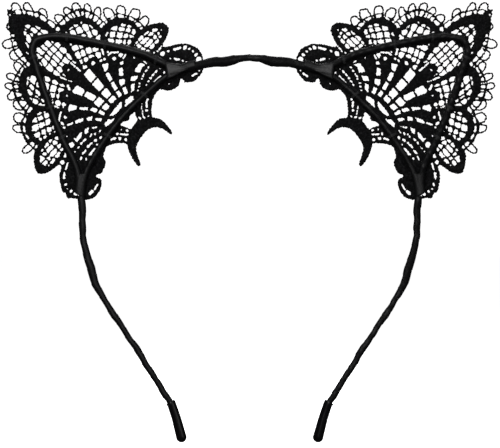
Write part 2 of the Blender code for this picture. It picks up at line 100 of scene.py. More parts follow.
# Satin gathered round each corner, as lengths along the band and the ear wire
INNER_FOLD_X = (21.3, 33.6)
OUTER_FOLD_Z = (-54.35, -44.8)
TURN_TOP = ((24.6, -3), (27, -2.4), (29.5, -1.8), (32, -1.2), (33.9, -1.1))
TURN_BOTTOM = ((25, -3.6), (27.3, -4.8), (29.2, -5.8), (31, -6.7), (33, -7.5))
TURN_DEPTH = -1.35

# Tip caps
CAP_LENGTH = 16.9
CAP_PROFILE = ((0.25, 1.25), (0, 1.6), (0.1, 1.84), (0.6, 1.9), (1.3, 1.84), (7, 1.9), (14.4, 2.1))
CAP_RIBBON_INSET = 4.0

# Thread ties between the ribbon and the lace, as lengths along the ear's and the band's lines
EAR_TACKS = (17, 38.5, 54, 74, 95, 108)
BASE_TACKS = (46, 68)
TIE_HALF_WIDTH = 1.75
TIE_THREAD_RADIUS = 0.13

# The lace panel: u runs towards the crown and v towards the ear's tip, from the hub of its fan
LACE_HUB = (49.48, -24.28)
LACE_TILT = math.radians(47)
LACE_MIDDLE = 2.45
GRID = 0.16
GRID_U = (-40.5, 42.5)
GRID_V = (-18, 67)
THREAD_WIDTH = 0.52
LACE_CUTS = (4.2, 17, 31)
# How far the net's openings reach past their outlines, and what softening gives back to threads
OPENING_GROWTH = 0.05
THREAD_SPREAD = 0.085
# The rough edge: wide waves, single strands, and the most that they take off or add
FRAY_WAVES = 0.11
FRAY_STRANDS = 0.4
FRAY_LIMITS = (-0.18, 0.22)
LEAST_FIELD = 0.02
# Thread heights
LACE_HALF_THICKNESS = 0.6
HEIGHT_SPREAD = 0.55
STRAND_RELIEF = 0.075
RELIEF_SPREAD = 0.35
SHEET_WAVE = 0.22

LACE_OUTLINE = (
    (0, -8.5), (3.7, -8.5), (5, -9.1), (6, -9.7), (7, -10.8), (7.7, -12.2), (8.1, -13.8),
    (8.3, -15.5), (8.6, -16.9), (9.6, -15.5), (9.9, -14), (10.1, -12), (10.3, -10.6),
    (9.7, -8.5), (8.7, -7), (8.4, -6.4), (9.3, -5.1), (11.5, -3.2), (13.5, -1.7), (15.5, -1),
    (18.8, -1), (19.7, -2.6), (21.2, -4.3), (23.2, -5.2), (25.5, -5.2), (27.3, -4.1), (28, -5.3),
    (27.5, -6.1), (28.7, -7.5), (30.3, -8.7), (32, -8.9), (35, -8.7), (37.3, -7.6),
    (38.9, -5.9), (39.9, -4.6), (40.7, -2.6), (41, -0.6), (40.3, 1.5), (39.5, 3.5), (37.6, 5.4),
    (35.5, 7.1), (33, 8.7), (32.1, 9.7), (32.8, 10.6), (34.8, 11), (37, 11.9), (38.7, 12.8),
    (39.3, 14.5), (38.9, 16.5), (37, 18.2), (35, 19.7), (33.2, 20.6), (33.1, 24), (32.6, 26.5),
    (31.5, 28.9), (30.4, 31), (28.9, 32.6), (27, 32.9), (24.7, 34), (23.5, 33.7), (23.3, 35.5),
    (23.2, 38), (22.5, 40.6), (21.5, 43.3), (20.1, 45.1), (17.5, 46.2), (14.8, 47.1),
    (13.2, 47), (10.3, 47.1), (9.4, 47.3), (9.4, 48.5), (9.1, 50), (8.7, 51.3), (8.8, 53),
    (8.4, 55.8), (7.2, 57.4), (6.2, 58.9), (5.3, 60.3), (4.1, 61.7), (2.9, 63), (1.6, 63.7),
    (0.4, 65.4), (-1.3, 63.5), (-3.4, 61.4), (-5.4, 59.1), (-6.5, 57.6), (-7.7, 56.1),
    (-9, 54.3), (-10, 53), (-10.8, 50.3), (-11.1, 48.7), (-11.1, 46.2), (-12, 46.2),
    (-15.5, 45.6), (-16.6, 45.2), (-19.1, 44.5), (-20.5, 43.6), (-21.5, 42.1), (-23, 40.1),
    (-23.7, 38.1), (-24.7, 35.6), (-24.6, 33.2), (-26.1, 31.8), (-29.1, 31), (-31.2, 29.1),
    (-32.5, 26.3), (-33.5, 23.5), (-33.6, 19), (-35.2, 18), (-36.8, 16.4), (-38.5, 14.2),
    (-39.3, 12), (-38, 10.2), (-36, 9.1), (-33, 8.4), (-31.3, 8.1), (-30.8, 7), (-31.5, 6.4),
    (-33.5, 5.4), (-35.3, 3.7), (-36.8, 1.6), (-38.1, -0.6), (-37.5, -1.5), (-37.8, -2.2),
    (-38.4, -3.7), (-37, -5.2), (-35.9, -7), (-34.4, -9), (-32, -10.9), (-30, -11.3),
    (-28, -11.1), (-26, -10.3), (-24.4, -9.2), (-23.9, -7.8), (-24.5, -6.5), (-23.8, -5.7),
    (-22, -6.7), (-21, -6.5), (-19, -5.9), (-17.4, -4.8), (-16.7, -2.9), (-15, -1.9),
    (-12.5, -1), (-11, -1.7), (-9, -3), (-7.2, -4.8), (-6.4, -6.2), (-6.9, -7), (-7.8, -8.6),
    (-8.6, -10.3), (-9.5, -13), (-9.8, -15.5), (-9.3, -16), (-8.2, -15.2), (-7.4, -13.5),
    (-6.3, -11.6), (-5, -10), (-3.5, -9.2),
)

# Openings with corners, as outlines
HUB_OPENINGS = (
    ((-2.8, 0.5), (-2.4, 0.9), (-1.5, 1.1), (-0.5, 0.7), (0.3, 0.1), (0.7, -0.2), (1.7, -0.1),
     (2.3, 0.6), (4.5, 0.5), (5.3, 0.2), (4.4, -0.9), (3.8, -2.5), (3.2, -2.9), (-0.5, -3.4),
     (-1.3, -3.1), (-1.7, -1.4), (-2.3, -0.2)),
    ((-2.9, 6.5), (0, 7), (4.7, 7.2), (4.2, 6.3), (3, 5.4), (0, 5.1), (-2.3, 5.8)),
    ((3.3, 4.3), (5.2, 5.4), (5.8, 6.3), (8.8, 5.8), (9.4, 5.1), (8.5, 3.9), (5, 4.2)),
    ((-7.4, 4.6), (-6.5, 6), (-4.2, 6), (-3.3, 4.9), (-2.1, 4.5), (-3.8, 4)),
)
SPOKE_OPENINGS = (
    ((1.2, 9.2), (4, 9.2), (4.3, 11.3), (1.2, 11.3)),
    ((1.2, 12), (4.1, 12), (4.5, 15.3), (1.3, 15.3)),
    ((1.4, 16.2), (4.4, 16.2), (5, 20.4), (1.5, 20.4)),
    ((1.6, 21.1), (4.9, 21.1), (5.6, 25.6), (2.2, 25.6)),
    ((5.1, 8.9), (6.7, 8.6), (7.2, 10.9), (5.6, 11.1)),
    ((5.8, 11.9), (7.4, 11.6), (8.4, 14.8), (6.8, 15.1)),
    ((7.1, 15.9), (8.7, 15.6), (9.9, 18.9), (8.2, 19.3)),
    ((10, 22.9), (12.4, 21.4), (10.1, 19.6), (8.6, 20.1)),
    ((7.4, 7.8), (8.9, 7.4), (10.2, 9.9), (8.6, 10.5)),
    ((9.7, 13.2), (10.5, 13.6), (12.3, 12.3), (10.7, 10.9), (8.8, 11.4)),
    ((13.5, 16.8), (15, 16), (12.7, 13.4), (11.4, 14.7)),
    ((14.7, 17.9), (16.2, 18.1), (17, 17.3), (16, 16.4)),
    ((12, 8.9), (13.5, 8.1), (11.7, 6.4), (9.7, 6.4)),
    ((14.8, 11), (16.8, 9.1), (14.6, 8.5), (13, 10)),
    ((17.9, 11.9), (21, 12.2), (22, 10), (20.3, 10.3), (18.2, 9.3), (16.8, 11.2)),
    ((-2.4, 9), (0, 9), (0, 11.2), (-2.7, 11.2)),
    ((-3.3, 12), (0, 12), (0, 14.8), (-3.6, 14.8)),
    ((-4.1, 19.5), (-1.9, 20), (-0.7, 16.4), (-1, 15.5), (-3, 15.3), (-3.9, 18)),
    ((-5.7, 24.4), (-2.9, 24.6), (-2, 21.5), (-2.5, 20.6), (-4.6, 20.1), (-6, 23.2)),
    ((-5.3, 10.7), (-3.7, 11), (-3.1, 8.6), (-4.3, 8.2)),
    ((-6.8, 13.8), (-5.1, 14), (-4, 11.7), (-5.6, 11.5)),
    ((-8.6, 17.8), (-6.1, 15.1), (-7.4, 14.5), (-9.4, 17.2)),
    ((-10.4, 21.5), (-8.8, 18.7), (-9.9, 18), (-12.8, 19.6), (-12, 20.9)),
    ((-7.3, 10.1), (-5.6, 8), (-7, 7.5), (-8.2, 9.7)),
    ((-9.3, 12.8), (-7.6, 11.4), (-9.2, 10.4), (-10.8, 12)),
    ((-13.4, 15.3), (-10.3, 13.6), (-12, 12.9), (-14.8, 14.6)),
    ((-11, 8.8), (-8.1, 6.3), (-10, 7.1), (-11.6, 8.1)),
    ((-13.5, 10.3), (-11.6, 9.4), (-13.8, 8.3), (-15.2, 8.8)),
    ((-19.3, 11.1), (-18.5, 10.2), (-16, 10.7), (-15, 10.2), (-16.7, 9.1), (-19.7, 8.9)),
)
LEAF_TIP_OPENINGS = (
    ((0.6, 56), (1.4, 55.7), (1.9, 55), (1.8, 54.2), (0.5, 54.2), (0.2, 55.2)),
    ((-1.4, 55.1), (-1, 54.6), (-1.1, 53.7), (-2.1, 53.1), (-2.7, 53.7)),
    ((0.7, 53.4), (1.9, 53.5), (2.3, 52.8), (2.4, 51.2), (1.6, 50.6), (0.8, 51.2)),
    ((-1.4, 53), (-1, 52.2), (-1.9, 50.4), (-3.3, 49.7), (-3.6, 50.5), (-3.4, 51.8), (-2.3, 52.7)),
    ((-0.5, 52.4), (0.2, 52.1), (0.2, 51.2), (-0.4, 50.8), (-0.9, 51.3)),
    ((3.1, 52.9), (3.6, 52.1), (4.1, 50.9), (3.1, 50.8), (2.8, 51.7)),
    ((1.2, 50), (2.3, 50), (2.6, 49), (2.3, 48.2), (1.8, 48.4)),
    ((3.1, 50), (4, 50), (4.7, 48.6), (4.9, 47.8), (4.1, 46.8), (3.2, 47.7), (3, 49)),
)
SIDE_NET_OPENINGS = (
    ((7, 36.6), (8, 36.3), (8.9, 35.6), (8.9, 34.6), (8.3, 33.9), (7, 34.3), (6.3, 34.8),
     (6.5, 35.9)),
    ((6.1, 34), (7.6, 33.4), (7.5, 32.6), (6.5, 30.8), (5.7, 30.9), (5.2, 31.9), (5.4, 33.1)),
    ((9.2, 34.9), (9.9, 34.3), (10.3, 33.6), (9.8, 33), (9.1, 33.3), (9, 34)),
    ((8.6, 33), (9.5, 32.4), (9.2, 31.3), (8.4, 30.1), (7.3, 30.4), (7.1, 31), (7.7, 32.2)),
    ((10.6, 32.1), (11.9, 31.2), (11.7, 30), (10.9, 29.1), (9.4, 29.7), (9.2, 30.3), (9.8, 31.6)),
    ((5.2, 30.6), (6.2, 30.2), (5.7, 29.2), (5.2, 28.6), (4.6, 28.9), (4.7, 29.8)),
    ((6.8, 30), (7.5, 29.8), (8.2, 29), (7.8, 28.2), (6.6, 28.1), (6.2, 28.5), (6.4, 29.3)),
    ((9, 29.2), (9.8, 28.9), (10.6, 27.9), (10.3, 27.4), (9.2, 27.8), (8.3, 28.4)),
    ((12.3, 30.2), (13, 29.6), (13.9, 28.2), (13.4, 27.7), (12.2, 28.2), (11.4, 28.9)),
    ((11.6, 28.1), (12.9, 27.3), (13.1, 26.4), (12.2, 25.2), (11, 25.5), (10.7, 26.6)),
    ((4.4, 28.3), (5, 28), (5.6, 27), (5.2, 26.5), (4, 26.5), (3.7, 26.9)),
    ((-9, 36.4), (-8.4, 35.5), (-8.1, 34.6), (-9, 33.2), (-9.8, 34.1), (-10.1, 35), (-9.4, 36)),
    ((-10.9, 34.9), (-10.2, 33.6), (-10.1, 32.8), (-12.2, 31.6), (-12.4, 32), (-11.7, 33.4)),
    ((-8, 33.2), (-7.2, 32.2), (-7, 31), (-7.7, 30.1), (-8.5, 30.9), (-8.9, 32.3)),
    ((-10, 32), (-9.2, 31.5), (-8.6, 30.1), (-9.4, 29.6), (-10.7, 29), (-11.5, 29.9),
     (-12, 30.7)),
    ((-7.2, 30), (-6.2, 28.9), (-6.3, 27.9), (-6.7, 27.7), (-7.6, 29.2)),
    ((-12.4, 30.1), (-11.2, 28.7), (-12.4, 27.7), (-13.5, 28.3)),
    ((-8.7, 29.1), (-8, 28.5), (-7.5, 27.1), (-8.5, 27.1), (-9.9, 27.8), (-9.8, 28.5)),
    ((-11.1, 27.9), (-10.2, 27.7), (-10.2, 27.2), (-11.2, 26.4), (-11.9, 26.2), (-12, 27.1)),
)
SCALLOP_OPENINGS = (
    ((14, 42), (14.8, 41.4), (15.5, 40.5), (14.8, 40.3), (13.6, 41.1)),
    ((11.2, 41.5), (12.1, 41), (12.6, 40.1), (12.2, 39), (11.6, 38.5), (10.3, 39.3), (10.5, 40.5)),
    ((13.4, 40.3), (14.9, 40), (15.2, 39.2), (14.8, 37.2), (13.9, 37.3), (12.6, 38.4),
     (12.9, 39.3)),
    ((16.1, 39.5), (17.2, 39.1), (17.9, 38), (17.3, 36.8), (16.6, 36.1), (15.3, 36.5), (15.5, 38)),
    ((13.2, 36.9), (14.1, 36.5), (14.4, 35.6), (14, 35.2), (13.3, 35.6), (12.8, 36.4)),
    ((15.3, 36.2), (16.6, 35.9), (16.3, 34.6), (15.6, 33.3), (14.5, 33.7), (14.5, 34.4)),
    ((17.2, 35.1), (18.2, 34.8), (18.8, 33.4), (18.3, 32.6), (17, 32.4), (16.5, 33.4)),
    ((16.1, 32.1), (17.3, 31.9), (18.5, 31.7), (18.2, 31.2), (17.4, 30.8), (16.7, 29.9),
     (16, 30.6)),
    ((-14.8, 40.6), (-14.4, 41), (-13.2, 41.1), (-13.6, 40.4), (-14.6, 40.2)),
    ((-15.6, 40.3), (-15, 40.2), (-15.2, 39.6), (-16.2, 38.9), (-16.7, 39.1)),
    ((-12.5, 40.6), (-12, 40), (-11.7, 39.2), (-12, 38.3), (-13.3, 37.5), (-14.4, 37.1),
     (-14.5, 38.5), (-14.3, 39.9), (-13.6, 40)),
    ((-15.1, 38.8), (-15, 37.5), (-15.2, 36.4), (-16, 35.7), (-16.4, 36.5), (-16.5, 38)),
    ((-13.1, 37), (-12.7, 36.7), (-13.4, 35.9), (-14.1, 34.9), (-14.3, 35.9), (-14, 36.6)),
    ((-17.6, 37.8), (-17.1, 37.3), (-17.1, 35.9), (-17.6, 34.7), (-18.3, 35.1), (-18.7, 35.8),
     (-18.4, 36.9)),
    ((-15.3, 35.6), (-14.9, 34.5), (-15.1, 33.3), (-15.8, 32.4), (-16.3, 32.8), (-16.4, 34.6)),
    ((-18.7, 33.7), (-18.2, 32.9), (-18.1, 31.3), (-19.1, 31), (-19.9, 31.6), (-19.9, 32.9)),
    ((-19.5, 30.6), (-18.1, 30.5), (-17.8, 29.6), (-17.3, 28.5), (-17.7, 28.3), (-18.4, 29.2)),
    ((19.5, 29.2), (19.5, 29.8), (20.8, 30.2), (21.5, 29.9), (20.9, 29.5), (20, 29.2)),
    ((22.8, 30), (24.1, 30), (25.7, 28.9), (25, 28.2), (24, 27.8), (23.3, 28.8)),
    ((21.9, 29.4), (23.4, 27.9), (22.5, 27.2), (21.6, 26.7), (20.2, 27.9)),
    ((19.4, 28.1), (20.1, 27.2), (20.9, 26.2), (20, 25.5), (19.2, 25.7), (18.2, 27)),
    ((25.4, 27.9), (26.3, 27.5), (27.1, 26.2), (26, 25.5), (25.3, 26.1), (24.7, 27.3)),
    ((27, 28.5), (27.6, 28.1), (28.4, 27), (28, 26.4), (27.4, 26.7), (26.6, 27.9)),
    ((23.9, 27), (25, 25.5), (24.5, 24.9), (23.5, 24.1), (22.6, 24.9), (22.1, 26.1)),
    ((28.6, 26.1), (29.4, 25.6), (29.2, 24.5), (28.8, 24.6), (28, 25.6)),
    ((27.5, 25.5), (28.6, 24.5), (28, 23.9), (27, 23.6), (26.3, 25)),
    ((21.1, 25.5), (22, 24.8), (22.8, 23.6), (21.8, 23), (20.9, 23.4), (20.2, 24.8)),
    ((25.3, 24.6), (26.1, 23.8), (26, 23.2), (25.2, 22.8), (24.4, 23), (23.9, 23.9)),
    ((23.1, 23.2), (23.8, 22.6), (23, 21.7), (22.3, 21.4), (21.8, 22.3)),
    ((26, 22.6), (26.6, 22.8), (27.1, 21.4), (26.8, 20.9), (25.4, 21.9)),
    ((28.9, 23.5), (29.3, 22.8), (28.9, 21.9), (27.8, 21.4), (27.5, 21.7), (27.4, 22.6)),
    ((24.6, 21.9), (25.1, 21.3), (24.9, 20.6), (23.8, 20.1), (23.2, 20.8), (23.2, 21.3)),
    ((-25.9, 27.4), (-25.3, 28), (-23.4, 27.9), (-23.4, 27.4), (-24.1, 26.4), (-24.8, 26.1)),
    ((-22.5, 27.9), (-22, 28.4), (-21, 28.1), (-20.3, 27.4), (-20.7, 27), (-21.8, 27.4)),
    ((-28.5, 25.1), (-27.8, 25.7), (-27.2, 26.4), (-26.2, 26.2), (-24.9, 25.3), (-25.8, 24.2),
     (-26.4, 23.6), (-27.7, 24.1)),
    ((-22.9, 27.2), (-21.9, 26.8), (-21.2, 26.2), (-22.2, 25.1), (-23.4, 25.8), (-23.6, 26.1)),
    ((-20.4, 26.1), (-19.5, 26), (-18.9, 25.2), (-19.6, 24.2), (-20.3, 24.1), (-21.2, 25)),
    ((-24.9, 24.9), (-24, 25.1), (-22.6, 24), (-23.4, 22.9), (-24.8, 23.2), (-25.7, 23.6)),
    ((-21.6, 24.2), (-20.1, 23.6), (-20.6, 22.5), (-21.7, 21.8), (-22.8, 22.3), (-23.1, 22.8)),
    ((-29, 23.8), (-28, 23.4), (-26.6, 22.8), (-27.3, 21.9), (-27.9, 21.4), (-29.2, 21.8),
     (-29.4, 22.6)),
    ((-25.6, 22.6), (-24.4, 21.9), (-25, 21), (-25.6, 20.3), (-26.6, 21), (-26.8, 21.6)),
    ((-23.4, 21.7), (-22.2, 20.8), (-22.4, 20), (-23.2, 19.6), (-24.2, 19.8), (-24.7, 20.6)),
    ((-29.3, 21), (-28.4, 21.2), (-28, 20.5), (-28.2, 19.9), (-28.8, 19.8)),
    ((-27.6, 19.7), (-26.8, 20.4), (-26, 20), (-26, 19.4), (-27.2, 19.3)),
    ((18.1, 20.8), (19, 19.9), (18.8, 19.2), (17.2, 19.1), (17, 19.4), (17.4, 20)),
)
SIDE_LEAF_OPENINGS = (
    ((27.6, 19.3), (29.1, 19.3), (29.9, 18.6), (29.8, 18.1), (27.2, 18.1), (27.1, 18.6)),
    ((30.2, 18), (30.6, 18.7), (32.6, 18.7), (32.8, 18)),
    ((25.1, 16.2), (25.1, 17.9), (26.3, 17.9), (26.3, 16.2)),
    ((27, 17.7), (29.7, 17.6), (30.4, 17.1), (30.9, 16.1), (27.4, 16.1), (26.8, 17)),
    ((31.1, 17.3), (32.7, 17.6), (33.4, 16.9), (33.4, 16.1), (32.3, 16.1)),
    ((34.1, 17.8), (35, 17.5), (35.8, 16.3), (35.5, 15.9), (34.3, 16.1), (33.6, 17)),
    ((25.5, 15.9), (26.3, 15.8), (26.8, 14.3), (26.2, 14.2), (25.2, 15)),
    ((27.1, 15.6), (31.1, 15.6), (31.2, 14.8), (30.8, 14.1), (28, 14.1), (27, 15)),
    ((31.7, 15.5), (33.6, 15.5), (33.4, 14.4), (32.8, 14.1), (31.9, 14.3)),
    ((34.8, 15.5), (35.5, 15.1), (35.2, 14.4), (34.4, 14), (34, 14.3)),
    ((26.5, 13.9), (27.3, 13), (27.4, 12.5), (26.8, 12.5), (26.1, 13.3)),
    ((27.8, 13.7), (30.4, 13.7), (30.5, 13), (29.6, 12.3), (28.3, 12.5)),
    ((31.1, 13.6), (33, 13.6), (32.9, 12.7), (32, 12.4), (30.8, 12.6)),
    ((-32.4, 16.6), (-31.6, 17.2), (-30.7, 17.1), (-30.7, 16.5)),
    ((-29.9, 16.5), (-29.7, 17.2), (-28.4, 17.7), (-27.6, 17.5), (-27.7, 16.4)),
    ((-27.1, 17.6), (-26.3, 17.6), (-25.4, 17), (-26, 16.5), (-27.1, 16.6)),
    ((-24.7, 16.6), (-23.9, 16.7), (-23.1, 16.1), (-23.9, 14.8), (-24.7, 16.2)),
    ((-33.7, 16), (-33.1, 15.4), (-33, 13.9), (-35.4, 13.8), (-35.4, 14.7), (-34.3, 15.3)),
    ((-32.7, 15.9), (-31.1, 15.8), (-31.3, 14.5), (-32, 14.1)),
    ((-30, 15.9), (-27.3, 15.8), (-27.1, 15.2), (-27.4, 14.3), (-30.7, 14.3), (-30.6, 15.2)),
    ((-26.1, 16.1), (-25.1, 16.2), (-24.8, 15), (-25, 14.3), (-26, 14.4), (-26.9, 15.2)),
    ((-35.4, 13.2), (-33.3, 13.3), (-33.1, 12.6), (-33.6, 11.8), (-35, 11.8)),
    ((-32.6, 13.4), (-31.7, 13.5), (-31.3, 12.7), (-31.5, 12), (-32.5, 12.1)),
    ((-30.9, 13.5), (-29.2, 13.8), (-27.1, 13.7), (-27, 13.3), (-27.8, 12.1), (-30.3, 12),
     (-31, 12.8)),
    ((-25.8, 14), (-24.7, 13.4), (-24.6, 12.9), (-25.4, 12.4), (-26.5, 12.4), (-26.5, 13.1)),
    ((-33, 11.2), (-30.8, 11.5), (-30.4, 10.8), (-31, 10.1), (-32.8, 10.3)),
    ((-29.9, 11.6), (-27.2, 11.8), (-27.2, 11), (-28, 10.3), (-29.6, 10.3)),
    ((-26.5, 11.8), (-25.2, 11.8), (-25.2, 11.3), (-25.9, 10.8), (-26.6, 11.1)),
    ((-28, 8.6), (-25.8, 9.6), (-26.8, 7.8)),
)
# The ladder between the border and its outer thread
LADDER_OPENINGS = (
    ((1.8, 62.8), (2.9, 62.7), (3.6, 61.4), (3.2, 60.4), (2.4, 60.7), (1.6, 61.6)),
    ((3.9, 60.8), (4.7, 60.6), (4.8, 59.6), (4.1, 59.1), (3.6, 59.6)),
    ((5.1, 59.3), (5.7, 58.7), (6.5, 57.3), (5.9, 56.4), (5.3, 56.5), (4.7, 58.3)),
    ((6.6, 56.7), (7.4, 56), (7.4, 55.2), (6.7, 54.4), (6, 55.2), (6.2, 56.2)),
    ((7.1, 54.2), (7.9, 54.3), (8.3, 53), (8.2, 51.4), (7.8, 50.9), (7.1, 51.3), (6.6, 53)),
    ((7.7, 50.5), (8.6, 50.2), (8.9, 48.5), (8.8, 47.3), (8, 46.9), (7.3, 47.3), (7.4, 49)),
    ((8.1, 46.3), (8.9, 46.3), (9.3, 45.3), (8.9, 44.8), (7.9, 44.8), (7.4, 45.2)),
    ((10.5, 46.5), (12.8, 46.3), (12.8, 45.4), (12, 44.8), (10.6, 45.2)),
    ((13.7, 46.3), (14.5, 46.2), (14.6, 44.8), (13.4, 44.6), (13.2, 45.4)),
    ((15.2, 46.4), (16.3, 46), (16, 44.8), (15.6, 44.2), (15, 44.8)),
    ((16.8, 45.8), (17.4, 45.4), (16.9, 43.8), (16.3, 43.8), (16.2, 44.4)),
    ((18.3, 45.2), (19.4, 44.6), (19.1, 43.6), (18.4, 42.4), (17.6, 43), (17.8, 44.2)),
    ((19.9, 43.3), (20.8, 42.8), (20.1, 42), (19.3, 41.8), (18.9, 42.2)),
    ((20.9, 41.9), (21.7, 41.3), (21.6, 40.3), (20.2, 39.9), (19.5, 40.1), (19.6, 40.8)),
    ((20.3, 39.6), (22.2, 39.8), (22.1, 39.2), (21, 38.5), (20.2, 38.7)),
    ((22.5, 38.4), (22.8, 37.6), (22.7, 36.3), (21.1, 36.3), (20.5, 36.9), (20.7, 37.5)),
    ((20.6, 35.8), (22.8, 35.8), (22.8, 34.7), (20.9, 34.6)),
    ((20.8, 34.1), (22.8, 34), (22.9, 33.1), (21, 32.9), (20.5, 33.5)),
    ((25.1, 33), (26.2, 32.8), (27.5, 32.6), (27.2, 31.8), (26.2, 32.1), (25.1, 32.7)),
    ((29.4, 31.8), (30.4, 30.3), (29.9, 29.3), (29.3, 29.7), (28.5, 30.8), (28.6, 31.4)),
    ((31.2, 28), (31.8, 27.5), (32.1, 25.9), (31.6, 25.5), (30.9, 26.3), (30.8, 27.5)),
    ((31.2, 24.3), (32.2, 24), (32.5, 23), (32.3, 21.9), (31.3, 22.2), (31, 23)),
    ((31, 21.9), (31.6, 21.5), (32.3, 21.2), (31.8, 20.8), (31.2, 20.9), (30.7, 21.4)),
    ((-5.8, 57.7), (-5.2, 57), (-5.7, 56.2), (-6.5, 57)),
    ((-7.2, 56.1), (-6.3, 55.8), (-7, 55.1), (-7.5, 55.4)),
    ((-7.9, 54.9), (-7, 54.9), (-6.9, 53.8), (-7.6, 53.3), (-8.5, 54.1)),
    ((-9.9, 52), (-8.1, 51.9), (-8.2, 50.4), (-8.6, 48.9), (-9.9, 48.8), (-10.3, 49.4),
     (-10, 50.9)),
    ((-10.4, 48.2), (-9, 48.2), (-9.1, 46.7), (-9.7, 45.7), (-10.3, 46.2)),
    ((-10.9, 44.7), (-10.3, 45.2), (-9.3, 45.2), (-9.2, 44.4), (-9.8, 43.8), (-10.5, 43.9)),
    ((-13.9, 45.1), (-13, 45.5), (-12.4, 45.2), (-12.3, 44.8), (-13.3, 44.5), (-14.6, 44.2),
     (-14.8, 44.7)),
    ((-17.9, 44.3), (-17, 44.4), (-16.7, 43.8), (-17.3, 42.8), (-18.3, 43.7)),
    ((-20, 43.1), (-19.2, 42.2), (-19.1, 41.2), (-19.9, 41.1), (-20.8, 42)),
    ((-21.3, 41.2), (-20.9, 41.1), (-20.1, 40.1), (-20.4, 39.8), (-21.1, 40.6)),
    ((-21.7, 40.4), (-21, 39.5), (-20.6, 38.2), (-21.2, 37.8), (-22.5, 38.8), (-22.5, 39.2)),
    ((-22.2, 37.5), (-21.3, 37.1), (-21.2, 36.4), (-21.6, 36.2), (-22, 36.8)),
    ((-23.3, 37), (-22.4, 36.2), (-21.7, 35.3), (-21.9, 34.3), (-23.8, 34.3), (-24, 35.5)),
    ((-24.2, 32.9), (-23.9, 33.7), (-22.1, 33.7), (-22, 33), (-22.6, 32.8)),
    ((-24.3, 31.3), (-24, 32), (-22, 32.3), (-21.6, 31.6), (-22.2, 31), (-23.9, 30.9)),
    ((-28.6, 29.9), (-27.9, 30.6), (-26.3, 31), (-26.1, 30.5), (-26.9, 29.8), (-28.2, 29.4)),
    ((-29.4, 29.4), (-29, 28.7), (-30, 27.5), (-30.6, 26.7), (-31.2, 27.2), (-30.8, 27.9),
     (-30, 28.8)),
    ((-31.7, 26.1), (-31.1, 26.2), (-31.1, 24.8), (-31.6, 23.8), (-32.1, 24.2)),
    ((-32.4, 22.6), (-31.6, 22.1), (-31.5, 21.3), (-32.1, 20.5), (-32.9, 20.7), (-32.9, 22)),
    ((-32.9, 19.8), (-31.2, 20.1), (-31.1, 19.6), (-32, 19), (-32.6, 19.2)),
)
LEAF_BOXES = (
    (-1.5, -0.1, 42.8, 45.7), (-1.5, -0.1, 40.1, 42.4), (-1.5, -0.1, 36.1, 39.6),
    (-1.5, -0.2, 33.8, 35.6), (0.4, 2.4, 42.9, 45.6), (0.4, 2.2, 39.9, 42.4),
    (0.4, 2.1, 36.4, 39.5),
)
LEAF_OPENINGS = (
    ((0.2, 35.8), (2.3, 35.8), (2.2, 33.4), (1.6, 32.8), (0.9, 33.2), (0.2, 34.2)),
    ((3.1, 44.1), (3.6, 43.1), (3.1, 42.7), (2.8, 43.2)),
    ((2.8, 42.4), (4.1, 42.4), (4.7, 41.4), (4.5, 40.1), (2.8, 40.1)),
    ((2.7, 39.5), (4, 39.6), (4.7, 38.6), (4.7, 37.4), (4.2, 36.7), (2.8, 36.8)),
    ((3.2, 36.2), (4, 36.2), (4.4, 35.4), (4, 34), (3.5, 33), (2.8, 33.4), (2.8, 35)),
    ((-4.6, 45.2), (-4.2, 44.3), (-4.1, 42.4), (-5, 42.4), (-5.4, 42.9), (-5.3, 43.9)),
    ((-2.5, 46.4), (-2.1, 46), (-2.1, 42.8), (-3.3, 42.8), (-3.6, 43.5), (-3.9, 45.6),
     (-3.4, 46.1)),
    ((-5.5, 41.8), (-3.9, 41.8), (-3.9, 40.3), (-4.3, 39.2), (-6.2, 38.9), (-6.2, 39.6),
     (-5.7, 40.8)),
    ((-3.4, 41.5), (-2.6, 42.1), (-2.1, 41.7), (-2.1, 39.8), (-2.6, 39.4), (-3.4, 39.7)),
    ((-6.2, 38.5), (-4.1, 38.6), (-4.1, 36.6), (-4.8, 35.7), (-5.5, 35.3), (-6, 35.8),
     (-6.4, 37.4)),
    ((-3.4, 38.6), (-2.4, 39.1), (-2, 38.6), (-2, 36.6), (-2.4, 35.8), (-3.3, 35.8), (-3.7, 36.8)),
    ((-5.8, 35.1), (-4.2, 35.1), (-4.2, 32.6), (-4.6, 32.2), (-5.2, 32.3), (-5.8, 33.6)),
    ((-3.6, 35.2), (-2.2, 35.3), (-2, 34), (-2.5, 32.8), (-3.4, 32.5), (-3.8, 33.2)),
)

